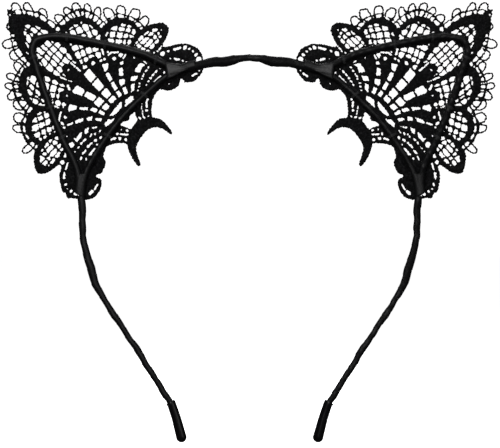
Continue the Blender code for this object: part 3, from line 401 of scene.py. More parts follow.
# Round openings (u, v, half width, half height)
HUB_EYES = (
    (4.7, -2.9, 0.4, 0.75), (6.1, -3.9, 0.45, 0.7), (7.6, -4.9, 0.45, 0.4), (8.8, -2.8, 0.6, 0.6),
    (9.5, 0.4, 0.25, 0.25), (12.3, -0.2, 0.7, 0.45), (-6, -0.7, 0.6, 0.5), (-3.7, -0.7, 0.4, 0.4),
    (-6.7, -2.7, 0.7, 0.7), (-2.4, -2.6, 0.5, 0.7), (-5.4, -4.7, 0.65, 0.65),
)
LOBE_EYES = ((34.9, -7.35, 0.35, 0.3), (22.8, -2.2, 0.5, 0.25), (-30.4, -9, 1.3, 0.7))
BUNDLE_EYES = (
    (16.9, 7.2, 0.4, 0.4), (17.8, 7.6, 0.6, 0.4), (18.9, 7.9, 0.4, 0.4), (20.4, 8.1, 0.7, 0.4),
    (22, 8.4, 0.6, 0.4), (12.3, 5.2, 0.5, 0.35), (13.8, 5.9, 0.6, 0.4), (14.9, 6.7, 0.45, 0.45),
    (16.2, 4.3, 0.6, 0.35), (17.8, 4.6, 0.6, 0.45), (19.4, 4.8, 0.6, 0.5), (21.1, 5, 0.9, 0.4),
    (22.8, 5, 0.9, 0.45), (24.5, 4.7, 0.4, 0.25), (24.7, 2.4, 0.5, 0.45), (-16.8, 7.3, 0.9, 0.45),
    (-18.6, 7.3, 0.75, 0.45), (-20.8, 7, 0.75, 0.3), (-22.8, 6.9, 0.35, 0.35),
    (-11.7, 3.2, 0.7, 0.5), (-13.9, 4, 0.8, 0.6), (-15.8, 4.4, 0.7, 0.45),
    (-17.5, 4.5, 1.1, 0.5), (-20.4, 4.1, 1.3, 0.45), (-14.7, 2.4, 0.4, 0.5),
)
SPOKE_EYES = (
    (8.1, 25.8, 0.9, 0.7), (15.2, 20.8, 0.75, 0.75), (20.9, 15.2, 0.35, 0.35),
    (-0.7, 31.2, 0.6, 0.3), (-8.6, 24.6, 0.4, 0.4), (-15.4, 19.2, 0.6, 0.6),
    (-20.5, 13.5, 0.35, 0.35), (15.3, 24.4, 0.5, 0.5), (18, 19.9, 0.9, 0.9),
    (-18.1, 18.4, 0.55, 1), (-18.7, 16.7, 0.5, 0.5), (-21.9, 9.8, 1.3, 1.1), (22.6, 11, 0.3, 1.1),
)
NET_EYES = (
    (-0.5, 54.9, 0.2, 0.5), (-0.6, 63.5, 0.5, 0.4), (1, 62.7, 0.25, 0.3), (7.45, 37.35, 0.4, 0.45),
    (11, 24.2, 0.65, 0.5), (12.3, 23.6, 0.6, 0.6), (-13.2, 25.2, 1.1, 1.3), (-12, 23.1, 0.75, 0.9),
    (-13.1, 22.5, 0.35, 0.35), (9.7, 41.8, 0.4, 0.65), (16.6, 40.4, 0.55, 0.35),
    (-19.3, 34.3, 0.35, 0.6), (-16.7, 30.4, 0.45, 0.85), (-24.5, 19.2, 0.5, 0.4),
    (-23.3, 18.7, 0.35, 0.3), (-22.5, 18.2, 0.4, 0.35), (26, 18.6, 0.75, 0.45),
    (24.7, 18.6, 0.3, 0.2), (36.5, 14.8, 0.35, 0.35), (34.2, 13.4, 0.6, 0.5),
    (27.8, 10.8, 0.4, 0.4), (-34, 10.8, 0.4, 0.35), (23.8, 33.2, 0.55, 0.5), (28, 32.2, 0.3, 0.3),
    (30.6, 28.8, 0.35, 0.35), (31.8, 24.9, 0.45, 0.35), (-11.3, 46.8, 0.25, 0.4),
    (-15.7, 44.2, 0.45, 0.55), (-25, 31.1, 0.3, 0.25),
)
CURL_EYES = (
    (29.9, 8, 1.1, 0.85), (32.2, 7, 0.65, 0.45), (37.8, 3.1, 1, 0.7), (38.6, 1.5, 0.7, 0.5),
    (38.8, -0.2, 0.6, 0.45), (38.7, -2.1, 0.9, 0.6), (38.1, -4.1, 1.2, 1), (33.4, 0.2, 0.5, 0.5),
    (33.85, -1.4, 0.5, 0.45), (30.5, 4.4, 0.3, 0.25), (-29.4, 7.7, 0.9, 0.9),
    (-35, 0.6, 0.75, 0.5),
    (-35.8, -1.1, 0.45, 0.45), (-35.5, -2.8, 0.8, 0.5), (-35.1, -4.8, 0.75, 0.75),
    (-34.7, -6.1, 0.3, 0.3), (-29.5, 0.5, 0.3, 0.3), (-30.9, -1.4, 0.3, 0.3),
)
# Long openings (u, v, u, v, half width)
SLOTS = (
    (6.6, -2.8, 7.7, -1.6, 0.3), (8, -0.9, 8.7, -0.1, 0.25), (9.9, -1.9, 11.3, -0.5, 0.45),
    (-9.3, -0.5, -7.8, -1.3, 0.45), (-5.2, -1.7, -3.5, -3.9, 0.4),
    (31.4, -6.85, 33.3, -7.35, 0.42),
    (-28.6, -9.2, -26.3, -8.7, 0.4), (19.2, 2.5, 22.6, 2.45, 0.53), (-10.7, 5, -9.9, 5.2, 0.35),
    (-12.4, 5.8, -11.6, 6, 0.35), (-14.4, 6.6, -13.2, 6.8, 0.35), (-23.6, 3.1, -22.4, 3.6, 0.35),
    (-19.6, 1.75, -16.6, 1.85, 0.48), (-22.2, 1.5, -21.6, 1.8, 0.35),
    (-17, 16.3, -15.1, 15.5, 0.4),
    (14.7, 23.5, 16.2, 23.3, 0.4), (16.2, 23.3, 18.1, 21.4, 0.4), (17.7, 18.2, 19.4, 18.6, 0.38),
    (-18.3, 20.1, -15.2, 21.8, 0.4), (2.1, 32.3, 2.1, 30.2, 0.38), (2.2, 29.5, 2.2, 27.6, 0.42),
    (3, 32.3, 3.3, 31, 0.33), (-5, 31.5, -4.1, 29.3, 0.38),
    (-3.9, 28.4, -3.2, 27, 0.28), (-3.5, 31.7, -3.2, 30.4, 0.25), (-6.1, 25.4, -5.4, 27.2, 0.5),
    (-4.3, 51, -5, 48.8, 0.35),
    (13.5, 25.2, 14.6, 26.9, 0.45), (-14.6, 26.8, -13.8, 27.5, 0.33),
    (-15.1, 25.2, -14.4, 23.9, 0.35), (11.6, 42, 12.8, 41.7, 0.33), (18.2, 37, 18.2, 35.6, 0.33),
    (-17.3, 33.7, -17, 32.1, 0.33), (-20, 26.9, -19.4, 26.5, 0.3), (-22, 19.5, -21.4, 20.4, 0.3),
    (-6.4, 41.5, -6.7, 40.3, 0.32), (-9, 53, -7.8, 52.5, 0.27), (-11.7, 48.5, -11.4, 47.7, 0.28),
    (-11.6, 45.4, -11.5, 44.6, 0.28), (-19.4, 43.8, -18.3, 42.1, 0.2),
    (22.3, 20.7, 22.9, 20.3, 0.2),
    (29.2, 10.1, 31.8, 10.3, 0.35),
    (34.2, 5.7, 36.4, 4.5, 0.55), (31.8, 2.9, 32.5, 1.6, 0.5), (-30.5, 4.85, -28.3, 5.8, 0.4),
    (-33.6, 2.9, -32.1, 4.1, 0.5), (-6.9, 48.3, -6.9, 47.3, 0.25),
)

# Picot loops, as the middle lines of their threads
PICOTS = (
    ((1.3, 64.4), (2, 64.6), (2.4, 65.3), (3.2, 65.7), (4, 65.5), (4.7, 64.6), (4.8, 63.4),
     (4.5, 62.3),
     (4.1, 61.6)),
    ((5.2, 60.5), (5.3, 61.2), (5.9, 61.8), (6.7, 62.2), (7.5, 62), (7.9, 61.2), (7.8, 60.2),
     (7.5, 59), (7.2, 58), (6.9, 57.4)),
    ((8, 55.9), (9, 56.1), (9.8, 56), (10.4, 55.3), (10.5, 54.3), (10.2, 53.3), (9.7, 52.5),
     (8.9, 51.7)),
    ((10.3, 46.8), (10.2, 47.7), (10.4, 48.8), (11, 49.6), (11.8, 49.9), (12.6, 49.5),
     (13.2, 48.8),
     (13.6, 47.8), (13.4, 46.9)),
    ((14.7, 46.8), (14.8, 47.9), (15.3, 48.8), (16.1, 49.2), (16.9, 49.1), (17.4, 48.3),
     (17.5, 47.3), (17.4, 46)),
    ((18.1, 46), (18.5, 47), (19.1, 47.6), (20, 47.9), (20.9, 47.5), (21.3, 46.5), (21.2, 45.5),
     (20.8, 44.5), (20.3, 43.9)),
    ((21.3, 43), (21.6, 43.5), (22.3, 43.9), (23.1, 44.2), (23.8, 43.8), (24, 43), (23.8, 41.8),
     (23.3, 41), (22.7, 40.2)),
    ((22.9, 39.5), (23.8, 39.7), (24.9, 40), (25.9, 39.6), (26.1, 38.8), (25.6, 38), (25, 37.3),
     (24, 36.7), (23.3, 36.2)),
    ((24.8, 33.7), (25, 35), (25.5, 36), (26.2, 36.9), (27, 37.3), (28, 36.9), (28.5, 36.2),
     (28.8, 35), (28.6, 33.8), (28.2, 32.8)),
    ((29.2, 32.3), (29.8, 33.3), (30.5, 33.8), (31.4, 34), (32.3, 33.6), (32.8, 32.7),
     (32.9, 31.7),
     (32.3, 30.7), (31.5, 30), (31, 29.4)),
    ((31.5, 28.3), (32.7, 28.7), (34, 28.9), (35, 28.9), (35.7, 27.8), (36.2, 26.8), (35.8, 26),
     (34.7, 25.1), (33.6, 24.8), (32.6, 24.7)),
    ((32.8, 24.2), (34, 24), (35.2, 23.8), (36, 23.5), (36.4, 22.5), (36.2, 21.5), (35.3, 20.8),
     (34.3, 20.5), (33, 20.4)),
    ((0.3, 65.5), (0.3, 64.5), (0.3, 63.2)),
    ((0.3, 64.9), (-0.2, 64.5), (-0.9, 64.2), (-1.3, 63.2)),
    ((-3, 61.4), (-3.8, 61.6), (-4.7, 61.2), (-5.2, 60.5), (-5.2, 59.3), (-5.3, 58.2)),
    ((-7.2, 56.6), (-8.2, 57.2), (-9, 57.7), (-10, 57.9), (-11.2, 57.6), (-11.6, 56.7),
     (-11.5, 55.7), (-10.8, 54.7), (-9.8, 54.1), (-9, 53.7)),
    ((-9.4, 52.8), (-10.5, 53.1), (-11.5, 53.1), (-12.3, 52.7), (-12.8, 51.8), (-13, 51),
     (-12.8, 50), (-12.2, 49.2), (-11.5, 48.9), (-10.8, 48.7)),
    ((-15.2, 45.8), (-15, 47.3), (-14.3, 48.5), (-13.3, 49), (-12.5, 48.7), (-12.1, 47.8),
     (-12, 46.7), (-12.1, 45.8)),
    ((-19, 44.3), (-19.3, 45.2), (-19.6, 46.3), (-19.6, 47.3), (-19, 48), (-18.2, 47.9),
     (-17.4, 47.1), (-16.8, 46.3), (-16.6, 45)),
    ((-21.8, 42.2), (-22.5, 43.2), (-22.9, 44), (-22.9, 45), (-22.4, 45.7), (-21.5, 45.7),
     (-20.7, 45), (-20.2, 44), (-20.4, 42.9)),
    ((-22, 42), (-23.3, 42.2), (-24.7, 42), (-25.6, 41.2), (-25.4, 40.1), (-24.5, 39.3),
     (-23.4, 38.9), (-22.8, 38.8)),
    ((-23.8, 38.2), (-25, 38.6), (-26, 37.8), (-26.4, 36.6), (-26.2, 35.3), (-25.4, 34.2),
     (-24.5, 33.5)),
    ((-29.5, 30.8), (-30, 31.7), (-30.3, 32.7), (-30.1, 33.7), (-29.4, 34.5), (-28.5, 34.8),
     (-27.5, 34.6), (-26.7, 33.8), (-26.2, 32.8), (-26, 31.8)),
    ((-31.8, 27.6), (-32.8, 28.8), (-33.2, 29.8), (-33.2, 31), (-32.7, 31.8), (-32, 32.1),
     (-31.2, 31.6), (-30.3, 30.8), (-30.1, 30), (-30.5, 29), (-31.2, 28.2)),
    ((-33.4, 22.9), (-34.7, 22.9), (-36.2, 22.9), (-37, 22.5), (-37.2, 21.7), (-36.8, 21),
     (-35.7, 20.4), (-34.3, 20.1), (-33.3, 20.2)),
)


class CentreLine:
    """A smooth line through points (x, z), read by the length along it."""

    SAMPLES = 16

    def __init__(self, points):
        knots = [Vector(point) for point in points]
        knots = [2 * knots[0] - knots[1], *knots, 2 * knots[-1] - knots[-2]]
        self.points = []
        for index in range(1, len(knots) - 2):
            for sample in range(self.SAMPLES):
                self.points.append(between(knots[index - 1:index + 3], sample / self.SAMPLES))
        self.points.append(knots[-2])
        self.lengths = [0.0]
        for before, after in zip(self.points, self.points[1:]):
            self.lengths.append(self.lengths[-1] + (after - before).length)

    @property
    def length(self):
        return self.lengths[-1]

    def at(self, distance):
        for index in range(1, len(self.lengths)):
            if self.lengths[index] >= distance or index == len(self.lengths) - 1:
                start, end = self.lengths[index - 1], self.lengths[index]
                share = (distance - start) / (end - start)
                return self.points[index - 1].lerp(self.points[index], share)

    def direction(self, distance):
        return (self.at(distance + 0.5) - self.at(distance - 0.5)).normalized()

    def where(self, axis, value):
        """The first length at which the line crosses x = value or z = value."""
        for index in range(1, len(self.points)):
            start, end = self.points[index - 1][axis], self.points[index][axis]
            if start != end and (start - value) * (end - value) <= 0:
                run = self.lengths[index] - self.lengths[index - 1]
                return self.lengths[index - 1] + run * (start - value) / (start - end)

    def nearest(self, point):
        gaps = [(candidate - point).length for candidate in self.points]
        return self.lengths[gaps.index(min(gaps))]


def between(knots, fraction):
    """The centripetal Catmull-Rom point between the middle two of four knots."""
    times = [0.0]
    for before, after in zip(knots, knots[1:]):
        times.append(times[-1] + math.sqrt((after - before).length))
    now = times[1] + fraction * (times[2] - times[1])

    def mix(first, second, start, end):
        return first.lerp(second, (now - start) / (end - start))

    near = [mix(knots[i], knots[i + 1], times[i], times[i + 1]) for i in range(3)]
    wide = [mix(near[i], near[i + 1], times[i], times[i + 2]) for i in range(2)]
    return mix(wide[0], wide[1], times[1], times[2])


def in_space(point, side=1, depth=0.0):
    return Vector((side * point[0] * MM, depth * MM, point[1] * MM))


def sideways(direction):
    return Vector((-direction[1], direction[0]))


def ramp(distance, stops):
    """A value read between (distance, value) stops."""
    for (start, low), (end, high) in zip(stops, stops[1:]):
        if distance <= end:
            return low + (high - low) * (distance - start) / (end - start)
    return stops[-1][1]


def make_ear_line(band):
    inner = [band.where(0, x) for x in INNER_FOOT_X]
    outer = [band.where(1, z) for z in OUTER_FOOT_Z]
    feet = [[band.at(at) + FOOT_SPACING * sideways(band.direction(at)) for at in group]
            for group in (inner, outer)]
    return CentreLine([*feet[0], *EAR_BOW, *feet[1]])


# Materials


class NodeTree:
    """Short calls for building a material's nodes."""

    def __init__(self, name):
        self.material = bpy.data.materials.new(name)
        self.material.use_nodes = True
        self.tree = self.material.node_tree
        self.shader = self.tree.nodes["Principled BSDF"]

    def add(self, kind, **settings):
        node = self.tree.nodes.new(kind)
        for key, value in settings.items():
            if hasattr(node, key):
                setattr(node, key, value)
            else:
                node.inputs[key.replace("_", " ").title()].default_value = value
        return node

    def link(self, output, target):
        self.tree.links.new(output, target)

    def set(self, **values):
        for key, value in values.items():
            self.shader.inputs[key.replace("_", " ")].default_value = value

    def noise(self, scale, detail=2.0, stretch=(1, 1, 1)):
        place = self.add("ShaderNodeTexCoord")
        mapping = self.add("ShaderNodeMapping")
        mapping.inputs["Scale"].default_value = stretch
        texture = self.add("ShaderNodeTexNoise")
        texture.inputs["Scale"].default_value = scale
        texture.inputs["Detail"].default_value = detail
        self.link(place.outputs["Object"], mapping.inputs["Vector"])
        self.link(mapping.outputs["Vector"], texture.inputs["Vector"])
        return texture.outputs["Fac"]

    def attribute(self, name):
        node = self.add("ShaderNodeAttribute")
        node.attribute_name = name
        return node.outputs["Fac"]

    def math(self, operation, first, second=0.5, third=0.5):
        node = self.add("ShaderNodeMath")
        node.operation = operation
        for index, value in enumerate((first, second, third)):
            if isinstance(value, (int, float)):
                node.inputs[index].default_value = value
            else:
                self.link(value, node.inputs[index])
        return node.outputs["Value"]

    def spread(self, value, low, high, target):
        """Map a 0 to 1 value between two numbers or colours into a socket."""
        node = self.add("ShaderNodeMix")
        node.data_type = "RGBA" if isinstance(low, tuple) else "FLOAT"
        inputs = [socket for socket in node.inputs if socket.enabled]
        inputs[1].default_value = (*low, 1) if isinstance(low, tuple) else low
        inputs[2].default_value = (*high, 1) if isinstance(high, tuple) else high
        self.link(value, inputs[0])
        result = [socket for socket in node.outputs if socket.enabled][0]
        self.link(result, self.shader.inputs[target])

    def bump(self, height, distance, strength=1.0, below=None):
        node = self.add("ShaderNodeBump")
        node.inputs["Distance"].default_value = distance
        node.inputs["Strength"].default_value = strength
        self.link(height, node.inputs["Height"])
        if below is not None:
            self.link(below.outputs["Normal"], node.inputs["Normal"])
        self.link(node.outputs["Normal"], self.shader.inputs["Normal"])
        return node


def lace_material():
    """Matt black embroidery thread: the stored strand pattern, with fine and uneven fibre."""
    nodes = NodeTree("lace_thread_black")
    strand = nodes.attribute("strand")
    fibre = nodes.noise(9000, 3)
    uneven = nodes.math("POWER", nodes.noise(1300, 2), 4.0)
    nodes.spread(nodes.math("MULTIPLY", strand, uneven), (0.0003, 0.0003, 0.0004),
                 (0.042, 0.042, 0.045), "Base Color")
    nodes.spread(fibre, 0.62, 0.9, "Roughness")
    nodes.set(Specular_IOR_Level=0.03)
    coarse = nodes.bump(strand, 0.00016, 0.9)
    nodes.bump(fibre, 0.00003, 0.6, coarse)
    return nodes.material


def satin_material(name, gloss):
    """Black satin ribbon: a fine warp along the ribbon, soft creases and a broad gloss."""
    nodes = NodeTree(name)
    warp = nodes.attribute("warp")
    lines = nodes.math("SINE", nodes.math("MULTIPLY", warp, 2 * math.pi / 0.16))
    crease = nodes.noise(900, 3)
    cloud = nodes.noise(260, 2)
    nodes.spread(cloud, (0.0008, 0.0008, 0.0009), (0.0026, 0.0026, 0.0029), "Base Color")
    nodes.spread(crease, 0.34, 0.5, "Roughness")
    nodes.set(Specular_IOR_Level=gloss, Anisotropic=0.3)
    coarse = nodes.bump(crease, 0.00012, 0.5)
    nodes.bump(lines, 0.00001, 0.35, coarse)
    return nodes.material


def vinyl_material():
    """Dipped black vinyl: smooth and glossy, with faint ripples and scuffs."""
    nodes = NodeTree("vinyl_cap_black")
    ripple = nodes.noise(420, 2, (1, 1, 0.4))
    scuff = nodes.noise(5200, 4)
    nodes.spread(scuff, (0.0004, 0.0004, 0.0005), (0.0018, 0.0018, 0.002), "Base Color")
    nodes.spread(scuff, 0.12, 0.34, "Roughness")
    nodes.set(Specular_IOR_Level=0.09)
    coarse = nodes.bump(ripple, 0.0001, 0.4)
    nodes.bump(scuff, 0.00001, 0.3, coarse)
    return nodes.material


def thread_material():
    """Polyester sewing thread with a twist."""
    nodes = NodeTree("sewing_thread_black")
    fibre = nodes.noise(7000, 3)
    nodes.spread(fibre, (0.002, 0.002, 0.0022), (0.01, 0.01, 0.011), "Base Color")
    nodes.spread(fibre, 0.45, 0.75, "Roughness")
    nodes.set(Specular_IOR_Level=0.2, Sheen_Weight=0.02)
    nodes.bump(fibre, 0.00004, 0.5)
    return nodes.material


def steel_material():
    """Drawn spring steel wire with fine lines and a little tarnish."""
    nodes = NodeTree("spring_steel")
    drawn = nodes.noise(2500, 3, (1, 1, 0.15))
    tarnish = nodes.noise(320, 3)
    nodes.spread(tarnish, (0.3, 0.29, 0.28), (0.5, 0.5, 0.52), "Base Color")
    nodes.spread(drawn, 0.25, 0.5, "Roughness")
    nodes.set(Metallic=1.0)
    nodes.bump(drawn, 0.00001, 0.4)
    return nodes.material


def stage_material():
    nodes = NodeTree("pale_studio_floor")
    grain = nodes.noise(30, 2)
    nodes.spread(grain, (0.86, 0.86, 0.86), (0.9, 0.9, 0.9), "Base Color")
    nodes.set(Roughness=0.9, Specular_IOR_Level=0.1, Emission_Color=(1, 1, 1, 1),
              Emission_Strength=FLOOR_GLOW)
    return nodes.material


def wall_material():
    nodes = NodeTree("white_studio_wall")
    nodes.set(Base_Color=(0.9, 0.9, 0.9, 1), Roughness=0.9, Emission_Color=(1, 1, 1, 1),
              Emission_Strength=WALL_GLOW)
    return nodes.material


# Meshes


def triangle_mesh(name, points, triangles, attributes=None):
    """A mesh from arrays of points in metres and of triangles."""
    mesh = bpy.data.meshes.new(name)
    mesh.vertices.add(len(points))
    mesh.vertices.foreach_set("co", np.ascontiguousarray(points, np.float32).ravel())
    mesh.loops.add(3 * len(triangles))
    mesh.loops.foreach_set("vertex_index", np.ascontiguousarray(triangles, np.int32).ravel())
    mesh.polygons.add(len(triangles))
    mesh.polygons.foreach_set("loop_start", np.arange(0, 3 * len(triangles), 3, dtype=np.int32))
    mesh.polygons.foreach_set("use_smooth", np.ones(len(triangles), bool))
    mesh.update(calc_edges=True)
    for key, values in (attributes or {}).items():
        layer = mesh.attributes.new(key, "FLOAT", "POINT")
        layer.data.foreach_set("value", np.ascontiguousarray(values, np.float32))
    return mesh


def add_piece(name, mesh, material, nodes=()):
    piece = bpy.data.objects.new(name, mesh)
    bpy.context.scene.collection.objects.link(piece)
    mesh.materials.append(material)
    if nodes:
        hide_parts(*nodes)
    return piece


def loft_mesh(name, rings, warp=None, sharp=35):
    """A closed skin over rings of points (stations, around, 3), its ends filled."""
    rings = np.array(rings, float)
    stations, around = rings.shape[:2]
    index = np.arange(stations * around).reshape(stations, around)
    beside = np.roll(index, -1, axis=1)
    quads = np.stack([index[:-1], beside[:-1], beside[1:], index[1:]], axis=-1).reshape(-1, 4)
    triangles = [quads[:, [0, 1, 2]], quads[:, [0, 2, 3]]]
    middles = [rings[0].mean(axis=0), rings[-1].mean(axis=0)]
    first, last = stations * around, stations * around + 1
    triangles.append(np.stack([np.full(around, first), beside[0], index[0]], axis=-1))
    triangles.append(np.stack([np.full(around, last), index[-1], beside[-1]], axis=-1))
    points = np.concatenate([rings.reshape(-1, 3), middles])
    triangles = np.concatenate(triangles)
    if signed_volume(points, triangles) < 0:
        triangles = triangles[:, ::-1]
    values = np.zeros(len(points)) if warp is None else np.concatenate([np.ravel(warp), [0, 0]])
    mesh = triangle_mesh(name, points, triangles, {"warp": values})
    mesh.set_sharp_from_angle(angle=math.radians(sharp))
    return mesh


def signed_volume(points, triangles):
    a, b, c = (points[triangles[:, k]] for k in range(3))
    return float(np.einsum("ij,ij->i", a, np.cross(b, c)).sum()) / 6


def line_frame(line, distance, side):
    """A point on a line with the two directions across it, in space."""
    across = sideways(line.direction(distance))
    place = line.at(distance)
    sway = ramp(max(-place[1], LEG_SWAY[0][0]), LEG_SWAY)
    centre = in_space(place, side) + Vector((side * sway * MM, 0, 0))
    return centre, Vector((side * across[0], 0, across[1])), Vector((0, 1, 0))


def crumple(distance, turn, seed):
    """Small soft waves in a wound ribbon, smooth along it and round it."""
    source = random.Random(seed)
    total = 0.0
    for harmonic in (1, 2, 2, 3, 4):
        length = source.uniform(3, 11)
        phase = source.uniform(0, 2 * math.pi)
        total += math.sin(2 * math.pi * distance / length + harmonic * turn + phase) / harmonic
    return total / 3


def wound_rings(places, radii, pitch, hand, seed):
    """Rings of a ribbon wound round a line: each turn laps over the last in one crisp step."""
    rings, warps = [], []
    for (distance, (centre, across, behind)), radius in zip(places, radii):
        start = hand * 2 * math.pi * distance / pitch
        ring, warp = [], []
        for step in range(RING_SIDES + 1):
            share = step / RING_SIDES
            turn = start + 2 * math.pi * share
            reach = radius + LAP * (0.5 - share) + CRUMPLE_HEIGHT * crumple(distance, turn, seed)
            ring.append(centre + reach * MM * (math.cos(turn) * across + math.sin(turn) * behind))
            warp.append(pitch * share)
        rings.append(ring)
        warps.append(warp)
    return rings, warps


def spaced(start, end, step):
    count = max(2, math.ceil((end - start) / step) + 1)
    return [start + (end - start) * index / (count - 1) for index in range(count)]


def add_wound_ribbon(name, line, start, end, side, radius_at, nodes, material, seed):
    distances = spaced(start, end, 0.3)
    places = [(distance, line_frame(line, distance, side)) for distance in distances]
    rings, warps = wound_rings(places, [radius_at(d) for d in distances], WRAP_PITCH, side, seed)
    mesh = loft_mesh(name, rings, warps)
    return add_piece(name, mesh, material, nodes)


def crown_place(band, distance):
    """The band's place at a signed length from the crown's middle, from left to right."""
    side = 1 if distance >= 0 else -1
    centre, across, behind = line_frame(band, abs(distance), side)
    return centre - Vector((0, 0, ramp(abs(distance), CROWN_SAG) * MM)), across, behind


def add_crown_ribbon(band, reach, material):
    distances = spaced(-reach, reach, 0.3)
    places = [(distance, crown_place(band, distance)) for distance in distances]
    radii = [ramp(abs(distance), CROWN_RADII) for distance in distances]
    rings, warps = wound_rings(places, radii, WRAP_PITCH, 1, 5)
    piece = add_piece("crown_winding", loft_mesh("crown_winding", rings, warps), material,
                      ["crown_ribbon"])
    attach(piece, "headband")


def round_rings(line, distances, radii, side, sides=20):
    rings = []
    for distance, radius in zip(distances, radii):
        centre, across, behind = line_frame(line, distance, side)
        turns = [2 * math.pi * step / sides for step in range(sides)]
        rings.append([centre + radius * MM * (math.cos(t) * across + math.sin(t) * behind)
                      for t in turns])
    return rings


def corner_share(corner, share):
    """The band's point, the ear wire's point and the direction across, along a corner."""
    band, ear, band_ends, ear_ends = corner
    on_band = band.at(band_ends[0] + share * (band_ends[1] - band_ends[0]))
    on_ear = ear.at(ear_ends[0] + share * (ear_ends[1] - ear_ends[0]))
    return on_band, on_ear, (on_ear - on_band).normalized()


def make_corner(band, ear, axis, ends):
    band_ends = [band.where(axis, value) for value in ends]
    return band, ear, band_ends, [ear.nearest(band.at(at)) for at in band_ends]


def add_gather(name, corner, side, node, material, seed, drop):
    """Satin gathered round a corner: creased oval sections that open towards the ear."""
    rings, warps = [], []
    source = random.Random(seed)
    phases = [source.uniform(0, 2 * math.pi) for _ in range(4)]
    for share in spaced(0, 1, 0.025):
        on_band, on_ear, across = corner_share(corner, share)
        middle = (on_band + on_ear) / 2 - drop * (1 - share) * across
        half = (on_ear - on_band).length / 2 + 1.62 - 0.2 * share - drop * (1 - share)
        ease = min(1, 6 * share + 0.75, 6 * (1 - share) + 0.72)
        ring, warp = [], []
        for step in range(48):
            turn = 2 * math.pi * step / 48
            crease = sum(math.sin(k * turn + 5 * share + phase) / k
                         for k, phase in zip((3, 5, 7, 9), phases))
            reach = ease * (1 + 0.035 * crease)
            waist = 1 - 0.3 * share * (1 - abs(math.cos(turn)))
            flat = middle + half * reach * math.cos(turn) * across
            ring.append(in_space(flat, side, 1.72 * reach * waist * math.sin(turn)))
            warp.append(half * turn)
        rings.append(ring)
        warps.append(warp)
    mesh = loft_mesh(name, rings, warps, 60)
    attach(add_piece(name, mesh, material, [node]), "headband")


def add_turn(side_name, material):
    """The flat turn of satin across an ear's inner corner, in front of the gather."""
    side = SIDES[side_name]
    rings, warps = [], []
    for share in spaced(0, 1, 0.04):
        top, bottom = (between_stops(share, stops) for stops in (TURN_TOP, TURN_BOTTOM))
        middle, half = (top + bottom) / 2, (top - bottom) / 2
        ease = min(1, 0.35 + 5 * share, 0.35 + 8 * (1 - share))
        ring, warp = [], []
        for step in range(48):
            turn = 2 * math.pi * step / 48
            up, out = (math.copysign(abs(value) ** 0.6, value)
                       for value in (math.cos(turn), math.sin(turn)))
            crease = 0.1 * math.sin(5 * up + 3 * share) + 0.06 * math.sin(9 * up - 4 * share + 1)
            place = middle + half * up
            ring.append(in_space(place, side, TURN_DEPTH - ease * (0.75 * out + 0.5 * crease)))
            warp.append(half.length * turn)
        rings.append(ring)
        warps.append(warp)
    name = f"turn_inner_{side_name}"
    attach(add_piece(name, loft_mesh(name, rings, warps, 60), material),
            "headband")


def between_stops(share, stops):
    """A point (x, z) on a run of evenly spaced stops."""
    at = share * (len(stops) - 1)
    index = min(int(at), len(stops) - 2)
    return Vector(stops[index]).lerp(Vector(stops[index + 1]), at - index)


def add_leg(band, flex, side_name, materials):
    """One leg: its winding, its wire and the cap, which rides on the leg."""
    side = SIDES[side_name]
    mouth = band.length - CAP_LENGTH
    winding = add_wound_ribbon(f"leg_winding_{side_name}", band, flex - 0.6,
                               mouth + CAP_RIBBON_INSET, side,
                               lambda d: ramp(-band.at(d)[1], LEG_RADII),
                               [f"leg_ribbon_{side_name}"], materials["satin"], 20 + side)
    distances = spaced(flex + 0.3, mouth + 9.5, 1.2)
    rings = round_rings(band, distances, [CORE_RADIUS] * len(distances), side, 14)
    core = add_piece(f"leg_core_{side_name}", loft_mesh(f"leg_core_{side_name}", rings),
                     materials["steel"], [f"leg_wire_{side_name}"])
    start = in_space(band.at(flex), side)
    end = in_space(band.at(flex + LEG_BEND_LENGTH), side)
    for piece in (winding, core):
        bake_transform(piece)
    profile = [*CAP_PROFILE]
    for step in range(1, 10):
        turn = math.radians(10 * step)
        profile.append((CAP_LENGTH - 2.1 + 2.1 * math.sin(turn), 2.1 * math.cos(turn) + 0.02))
    rings = round_rings(band, [mouth + at for at, _ in profile], [r for _, r in profile], side, 40)
    cap = add_piece(f"cap_{side_name}", loft_mesh(f"cap_{side_name}", rings), materials["vinyl"],
                    [f"tip_cap_{side_name}"])
    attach(cap, f"leg_{side_name}")


def tie_points(place, direction, side, slip):
    """One pass of thread over the ribbon and through the lace, slipped along the ribbon."""
    across = sideways(direction)
    back = LACE_MIDDLE + 0.8
    points = []
    for step in range(28):
        turn = 2 * math.pi * step / 28
        reach = TIE_HALF_WIDTH - 0.1
        depth = -reach * math.sin(turn) if turn <= math.pi else -back * math.sin(turn)
        flat = place + reach * math.cos(turn) * across + (slip + 0.2 * math.cos(turn)) * direction
        points.append(in_space(flat, side, depth))
    return points


def add_tie(number, place, direction, side_name, material):
    """Three passes of two-ply thread that hold the ribbon to the lace."""
    side = SIDES[side_name]
    points, triangles = [], []
    for slip in (-0.34, 0, 0.36):
        path = np.array(tie_points(place, direction, side, slip))
        rings = closed_thread(path, TIE_THREAD_RADIUS)
        count, around = rings.shape[:2]
        index = np.arange(count * around).reshape(count, around) + sum(len(p) for p in points)
        ahead = np.roll(index, -1, axis=0)
        quads = np.stack([index, np.roll(index, -1, 1), np.roll(ahead, -1, 1), ahead], axis=-1)
        quads = quads.reshape(-1, 4)
        points.append(rings.reshape(-1, 3))
        triangles += [quads[:, [0, 1, 2]], quads[:, [0, 2, 3]]]
    points, triangles = np.concatenate(points), np.concatenate(triangles)
    if signed_volume(points, triangles) < 0:
        triangles = triangles[:, ::-1]
    name = f"stitch_{side_name}_{number}"
    piece = add_piece(name, triangle_mesh(name, points, triangles), material,
                      [f"tack_{side_name}_{number}"])
    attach(piece, "headband")


